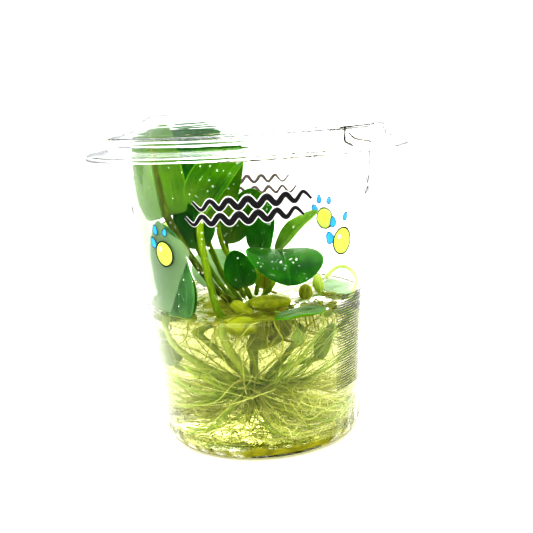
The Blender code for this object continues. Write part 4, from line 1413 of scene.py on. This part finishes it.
def make_drops(material):
    places, sizes, ups = [], [], []
    for name, count in DROPS_ON_LEAVES.items():
        leaf = LEAVES[name]
        across, t = rng.uniform(-0.9, 0.9, count), rng.uniform(0.08, 0.95, count)
        radius = rng.gamma(1.8, 0.11, count).clip(0.10, 0.60)
        _, _, _, up = blade_line(leaf, t)
        towards_front = np.where(up[:, 1] < 0.3, 1.0, -1.0)
        places.extend(on_blade(leaf, across, t, towards_front * (0.20 + radius * 0.18)))
        sizes.extend(np.stack([radius, radius * rng.uniform(0.8, 1.1, count), radius * 0.62], -1))
        ups.extend(up * towards_front[:, None])
    for name, count in DROPS_ON_STALKS.items():
        leaf = LEAVES[name]
        route = through([*leaf["stalk"], leaf["blade"][0]], 200)
        route = route[route[:, 2] > WATER_LEVEL + 4]
        for row in rng.integers(0, len(route), count):
            radius = min(max(rng.gamma(2.0, 0.10), 0.12), 0.5)
            outward = unit(vec(rng.uniform(-0.8, 0.8), -1, rng.uniform(-0.2, 0.4)))
            places.append(route[row] + outward * (leaf["stalk_r"] + radius * 0.15))
            sizes.append(vec(radius, radius, radius * 0.6))
            ups.append(outward)
    fit(copies("drops_on_leaves", ball(2), places, sizes, ups), material, "pond_water")
    places, sizes, ups = [], [], []
    for _ in range(420):
        azimuth, z = math.radians(rng.uniform(-180, 180)), rng.uniform(56, 106)
        radius = float(np.clip(rng.gamma(1.6, 0.09), 0.07, 0.45))
        outward = polar(1, azimuth, -0.06)
        places.append(vec(*(outward[:2] * (cup_wall_r(z) - WALL - radius * 0.22)), z))
        sizes.append(vec(radius, radius * rng.uniform(0.9, 1.3), radius * 0.5))
        ups.append(unit(-outward))
    fit(copies("drops_on_wall", ball(2), places, sizes, ups), material, "pond_water")


def make_fog(material):
    """A thin film inside the wall at the left, from the water up to the rim."""

    def place(across, along):
        z = FOG_FOOT + along * (FOG_TOP - FOG_FOOT)
        wider = (105.3 - np.maximum(z, 85)) * 0.13 + np.interp(z, [53, 62, 76, 80, 84], [-4, 3, 14, 12, 0])
        azimuth = np.radians(FOG_START + across * (FOG_SPAN + wider))
        return polar(cup_wall_r(z) - WALL - FILM_GAP, azimuth, z)

    fit(formed("condensation_left", 40, 24, place), material, "clear_plastic")


# Painted shade: an olive film for the base's shadow and the water seen through the foot's corner
def make_foot_shade(material):
    """Painted shade in the foot's rounded corner, olive, with an uneven upper edge."""
    wander = rng.uniform(0, 6.28, 6)

    def place(across, along):
        azimuth = 2 * math.pi * across
        uneven = sum(np.sin(azimuth * step + wander[i]) for i, step in enumerate((3, 5, 8, 13, 21, 34)))
        edge = -14 + 10 * np.cos(azimuth - math.radians(-62)) + 3.4 * uneven
        turn = np.radians(-100 + along * (100 + edge))
        bend = FOOT_CORNER_R - WALL - 0.25
        r = cup_wall_r(FOOT_CORNER_R) - FOOT_CORNER_R + bend * np.cos(turn)
        return polar(r, azimuth, FOOT_CORNER_R + bend * np.sin(turn))

    fit(formed("foot_shade_band", 240, 10, place), material, "leaf_olive")


# Grit and scraps: on the bed, stuck to the wall, and afloat


def make_scraps(name, count, material, slot):
    """Torn bits of old leaf afloat among the stalks, and a few just under them."""
    places, sizes, ups = [], [], []
    for _ in range(count):
        place = vec(rng.uniform(-22, 26), rng.uniform(-33, 2), WATER_LEVEL + rng.uniform(-1.2, 0.7))
        place[2] -= rng.choice([0, 6], p=[0.8, 0.2]) * rng.uniform(0.2, 1.6)
        places.append(place)
        sizes.append(rng.uniform(0.7, 2.4) * vec(1, rng.uniform(0.3, 0.6), 0.14))
        ups.append(unit(vec(*rng.normal(0, 0.3, 2), 1)))
    fit(copies(name, ball(3), places, sizes, ups), material, slot)


def make_grit(material):
    places, sizes, ups = [], [], []
    for _ in range(46):
        azimuth, r = in_disc(32)
        places.append(polar(r, azimuth, FLOOR_RISE + WALL + 0.5))
    for _ in range(30):
        azimuth, z = math.radians(rng.uniform(-160, -20)), rng.uniform(7, 34)
        places.append(polar(cup_wall_r(z) - WALL - 0.5, azimuth, z))
    for _ in range(26):
        azimuth, r = in_disc(37)
        places.append(polar(r, azimuth, WATER_LEVEL + 0.25))
    for _ in places:
        radius = float(np.clip(rng.gamma(2.0, 0.11), 0.10, 0.50))
        sizes.append(radius * vec(1, rng.uniform(0.5, 1), rng.uniform(0.3, 0.7)))
        ups.append(unit(rng.normal(0, 1, 3)))
    fit(copies("grit_specks", ball(1), places, sizes, ups), material, "leaf_olive")


# Build it all

make_cup(clear_plastic("cup_plastic"))
make_lid(clear_plastic("lid_plastic"))
make_cracks(soil_and_edge_shade("crack_edge", 1.6, 3.0, 0.4, 0.65, (0.016, 0.012, 0.006), (0.16, 0.14, 0.09), 0.8))
# Painted shade along the lid's edges
make_edge_shade(soil_and_edge_shade("lid_edge_shade", 3.0, 4.0, 0.42, 0.58, (0.04, 0.042, 0.014), (0.34, 0.32, 0.22), 1.0))
make_water(pond_water())
make_prints()
make_crowns(juicy_finish("crown_green", (0.24, 0.38, 0.03), (0.46, 0.60, 0.10), (0.60, 0.74, 0.20)))
make_leaves()
make_swollen()
runner_greens = (0.38, 0.48, 0.09), (0.62, 0.72, 0.28), (0.72, 0.84, 0.36)
make_runners(juicy_finish("runner_green", *runner_greens, thin=0.35))
make_roots(root_finish("root_pale", (0.68, 0.72, 0.27), (0.93, 0.94, 0.60), 0.55))
make_drops(drop_water())
make_fog(fog_film())
# Painted shade in the foot's corner
make_foot_shade(foot_shade_finish())
make_grit(grit_finish())
olive_scrap = root_finish("scrap_olive", (0.10, 0.10, 0.002), (0.34, 0.33, 0.01), 0.25)
green_scrap = root_finish("scrap_green", (0.12, 0.24, 0.003), (0.45, 0.56, 0.05), 0.35)
make_scraps("scraps_olive", 30, olive_scrap, "leaf_olive")
make_scraps("scraps_green", 22, green_scrap, "leaf_mid")


# Stage: pale floor, soft light, and the camera at the photograph's angle


def make_floor():
    bpy.ops.object.select_all(action="DESELECT")
    bpy.ops.mesh.primitive_circle_add(vertices=96, radius=3.0, fill_type="NGON", location=(0, 0, -0.0002))
    floor = name_piece("floor")
    made = Finish("pale_floor")
    pale, dim = (made.surface(Base_Color=(grey, grey, grey), Roughness=0.6) for grey in (0.93, 0.33))
    floor.data.materials.append(made.done(made.dimmed_in_mirrors(pale, dim)))


def make_world():
    """A bright, even room. Mirror reflections see it dimmer, as they would the room behind the camera."""
    world = bpy.data.worlds.new("studio")
    bpy.context.scene.world = world
    made = Finish("studio", world)
    place = made.node("ShaderNodeTexCoord", out="Generated")
    up = made.node("ShaderNodeSeparateXYZ", sockets={0: place}, out=2)
    stops = [(0.10, (0.80, 0.80, 0.80)), (0.90, (1.0, 1.0, 1.0))]
    bright = made.node("ShaderNodeValToRGB", {"stops": stops}, {"Fac": up})
    sky = made.node("ShaderNodeBackground", sockets={"Color": bright, "Strength": 1.30})
    dim = made.node("ShaderNodeBackground", sockets={"Color": (0.33, 0.34, 0.35)})
    made.done(made.dimmed_in_mirrors(sky, dim))


def softbox(name, place, aim, size, power):
    bpy.ops.object.light_add(type="AREA", location=tuple(vec(*place) * MM))
    lamp = bpy.context.active_object
    lamp.name = name
    lamp.data.shape = "RECTANGLE"
    lamp.data.size, lamp.data.size_y = (part * MM for part in size)
    lamp.data.energy = power
    lamp.rotation_euler = Vector(vec(*aim) - vec(*place)).to_track_quat("-Z", "Y").to_euler()


def make_camera():
    """The picture was taken from a little above the lid, with the camera tipped slightly to one side."""
    data = bpy.data.cameras.new("camera")
    camera = bpy.data.objects.new("camera", data)
    bpy.context.scene.collection.objects.link(camera)
    bpy.context.scene.camera = camera
    data.lens, data.sensor_width = 53.1, 36.0
    data.clip_start, data.clip_end = 0.01, 20
    pitch, roll = math.radians(11.7), math.radians(3.28)
    right, up = Vector((1, 0, 0)), Vector((0, math.sin(pitch), math.cos(pitch)))
    back = right.cross(up)
    tipped_right = right * math.cos(roll) - up * math.sin(roll)
    tipped_up = right * math.sin(roll) + up * math.cos(roll)
    turn = Matrix((tipped_right, tipped_up, back)).transposed().to_4x4()
    camera.matrix_world = Matrix.Translation(Vector((4.6, -295.7, 123.9)) * MM) @ turn


make_floor()
make_world()
softbox("softbox_top", (-120, -160, 520), (0, 0, 60), (420, 320), 1.6)
softbox("softbox_back", (160, 420, 330), (0, 0, 60), (420, 300), 1.6)
make_camera()
scene = bpy.context.scene
scene.view_settings.view_transform = "Standard"
scene.view_settings.look = "Very High Contrast"
scene.cycles.max_bounces = 36
scene.cycles.transmission_bounces = 36
scene.cycles.transparent_max_bounces = 32
scene.cycles.glossy_bounces = 28
